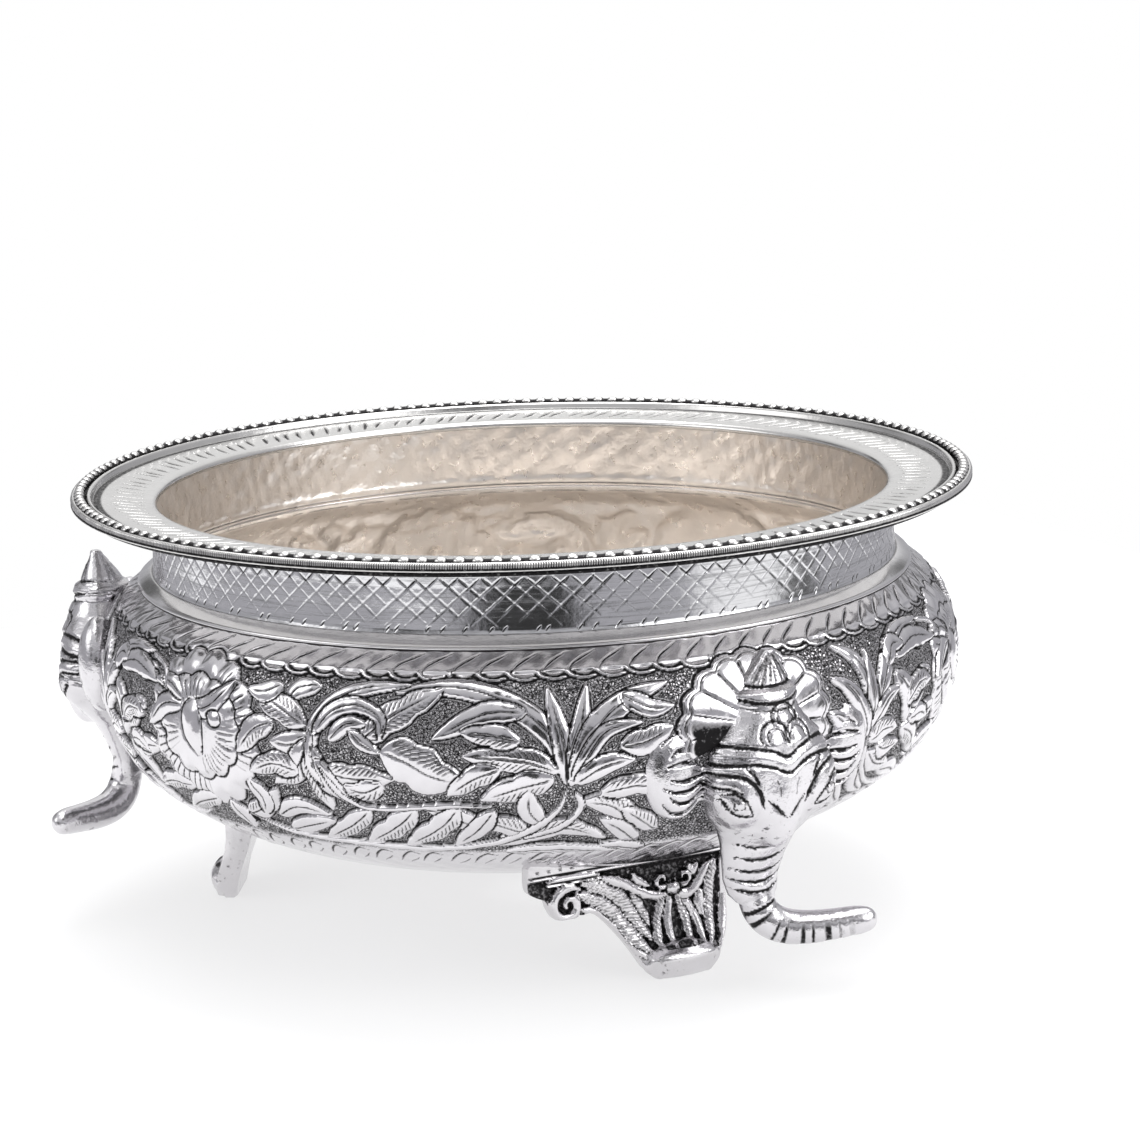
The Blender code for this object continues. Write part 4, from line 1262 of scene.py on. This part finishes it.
def make_camera():
    data = bpy.data.cameras.new("camera")
    data.lens = 101.5
    data.sensor_width = 36.0
    data.clip_end = 20.0
    camera = add_object("camera", data)
    camera.matrix_world = aim((-0.4510, -0.9805, 0.3419), (0.0140, -0.0064, 0.1122), -1.81)
    bpy.context.scene.camera = camera


def area_light(name, place, size, power):
    data = bpy.data.lights.new(name, "AREA")
    data.shape = "RECTANGLE"
    data.size, data.size_y = size
    data.energy = power
    add_object(name, data).matrix_world = aim(place, (0, 0, 0.1))


def make_floor():
    mesh = bpy.data.meshes.new("floor")
    mesh.from_pydata([(-0.5, -0.36, 0), (0.5, -0.36, 0), (0.5, 0.5, 0), (-0.5, 0.5, 0)], [], [(0, 1, 2, 3)])
    floor = add_object("floor", mesh)
    material = bpy.data.materials.new("white_sweep")
    tree = Tree(material)
    tree.fill(tree.nodes["Principled BSDF"], {
        "Base Color": (0.36, 0.36, 0.362), "Roughness": 0.8,
        "Emission Color": (1.0, 1.0, 1.0), "Emission Strength": 0.62,
    })
    mesh.materials.append(material)


PATCHES = (
    # zones of the studio that the metal reflects: azimuth, elevation, inner and outer angle, brightness
    (155.0, 26.0, 10.0, 30.0, 0.95), (30.0, 24.0, 10.0, 26.0, 2.7), (44.0, -16.0, 7.0, 22.0, 1.1),
    (-100.0, 30.0, 9.0, 24.0, 2.0), (155.0, 66.0, 12.0, 28.0, 2.4), (-25.0, 78.0, 12.0, 28.0, 2.3),
    (-62.0, 8.0, 5.0, 13.0, 0.08), (66.0, -6.0, 4.0, 12.0, 0.12), (178.0, 13.0, 3.0, 10.0, 0.12),
    (128.0, 14.0, 2.0, 8.0, 0.2), (205.0, 26.0, 5.0, 14.0, 0.2), (-10.0, 46.0, 5.0, 13.0, 0.08),
    (4.0, 8.0, 3.0, 9.0, 0.1), (-24.7, -8.0, 10.0, 22.0, 0.04),
)


def make_world():
    """Soft white studio with a few bright and dim zones, and a plain white backdrop."""
    world = bpy.data.worlds.new("studio")
    bpy.context.scene.world = world
    tree = Tree(world)
    toward = tree.place.outputs["Generated"]
    up = tree.add("SeparateXYZ", {0: toward}).outputs["Z"]
    ramp = tree.add("ValToRGB", {"Fac": tree.spread(up, -0.6, 0.8)})
    ramp.color_ramp.elements[0].color = (0.52, 0.51, 0.54, 1.0)
    ramp.color_ramp.elements[1].color = (0.75, 0.75, 0.76, 1.0)
    ramp.color_ramp.elements.new(0.5).color = (0.42, 0.42, 0.44, 1.0)
    colour = ramp.outputs["Color"]
    for azimuth, elevation, inner, outer, value in PATCHES:
        a, e = math.radians(azimuth), math.radians(elevation)
        dot = tree.nodes.new("ShaderNodeVectorMath")
        dot.operation = "DOT_PRODUCT"
        tree.fill(dot, {0: toward, 1: (math.sin(a) * math.cos(e), -math.cos(a) * math.cos(e), math.sin(e))})
        reach = tree.nodes.new("ShaderNodeMapRange")
        reach.interpolation_type = "SMOOTHSTEP"
        tree.fill(reach, {
            "Value": dot.outputs["Value"], "From Min": math.cos(math.radians(outer)),
            "From Max": math.cos(math.radians(inner)),
        })
        colour = tree.blend(reach.outputs["Result"], colour, (value, value, value))
    seen = tree.nodes.new("ShaderNodeLightPath").outputs["Is Camera Ray"]
    tree.fill(tree.nodes["Background"], {"Color": tree.blend(seen, colour, (1.0, 1.0, 1.0)), "Strength": 1.0})


def main():
    belly = metal("silver_belly", (0.76, 0.745, 0.77), 0.14, ((700.0, 0.25, 0.12), (150.0, 0.25, 0.5)), punched=True)
    lining = metal("silver_lining", (0.9, 0.85, 0.8), 0.32, ((420.0, 0.15, 0.2), (110.0, 0.6, 1.2)), 0.12, dents=120.0)
    neck = metal("silver_neck", (0.76, 0.76, 0.78), 0.13, ((300.0, 0.25, 0.25), (70.0, 0.25, 0.8)), streaks=0.75)
    ledge = metal("silver_ledge", (0.78, 0.77, 0.78), 0.15, ((250.0, 0.2, 0.2),))
    flange = metal("silver_flange", (0.66, 0.652, 0.642), 0.18, ((300.0, 0.25, 0.25),))
    edge = metal("silver_edge", (0.82, 0.81, 0.80), 0.22, ((600.0, 0.2, 0.1),))
    beads = metal("silver_beads", (0.74, 0.73, 0.72), 0.2, ((500.0, 0.25, 0.15),))
    cast = metal("silver_cast", (0.72, 0.706, 0.73), 0.18, ((900.0, 0.4, 0.25), (260.0, 0.45, 0.6)), pits=0.85)
    foot = metal("silver_foot", (0.72, 0.706, 0.725), 0.2, ((900.0, 0.4, 0.2), (260.0, 0.3, 0.5)), pits=0.7)

    skin, lining_bowl = make_belly(belly, lining)
    band, lining_neck = make_neck(neck, lining)
    pieces = [
        (skin, "bowl_body", "belly"), (lining_bowl, "bowl_body", "belly"), (band, "neck_collar", "neck"),
        (lining_neck, "neck_collar", "neck"), (make_ledge(ledge), "neck_moulding", "ledge"),
        (make_flange(flange), "rim_flange", "flange"), (make_lip(edge), "rim_lip", "lip"),
        (make_beads(beads), "rim_beads", "beads"),
    ]
    for number, piece in enumerate(make_heads(cast), 1):
        pieces.append((piece, f"elephant_head_{number}", "head"))
    for number, piece in enumerate(make_feet(foot), 1):
        pieces.append((piece, f"foot_{number}", "foot"))
    for piece, node, slot in pieces:
        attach(piece, "root")
        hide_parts(node)

    make_floor()
    make_world()
    make_camera()
    area_light("top", (0.3, 0.2, 1.5), (1.4, 1.0), 14.5)
    area_light("right", (1.0, -0.9, 0.8), (0.5, 0.7), 3.5)
    bpy.context.scene.view_settings.view_transform = "Standard"


main()
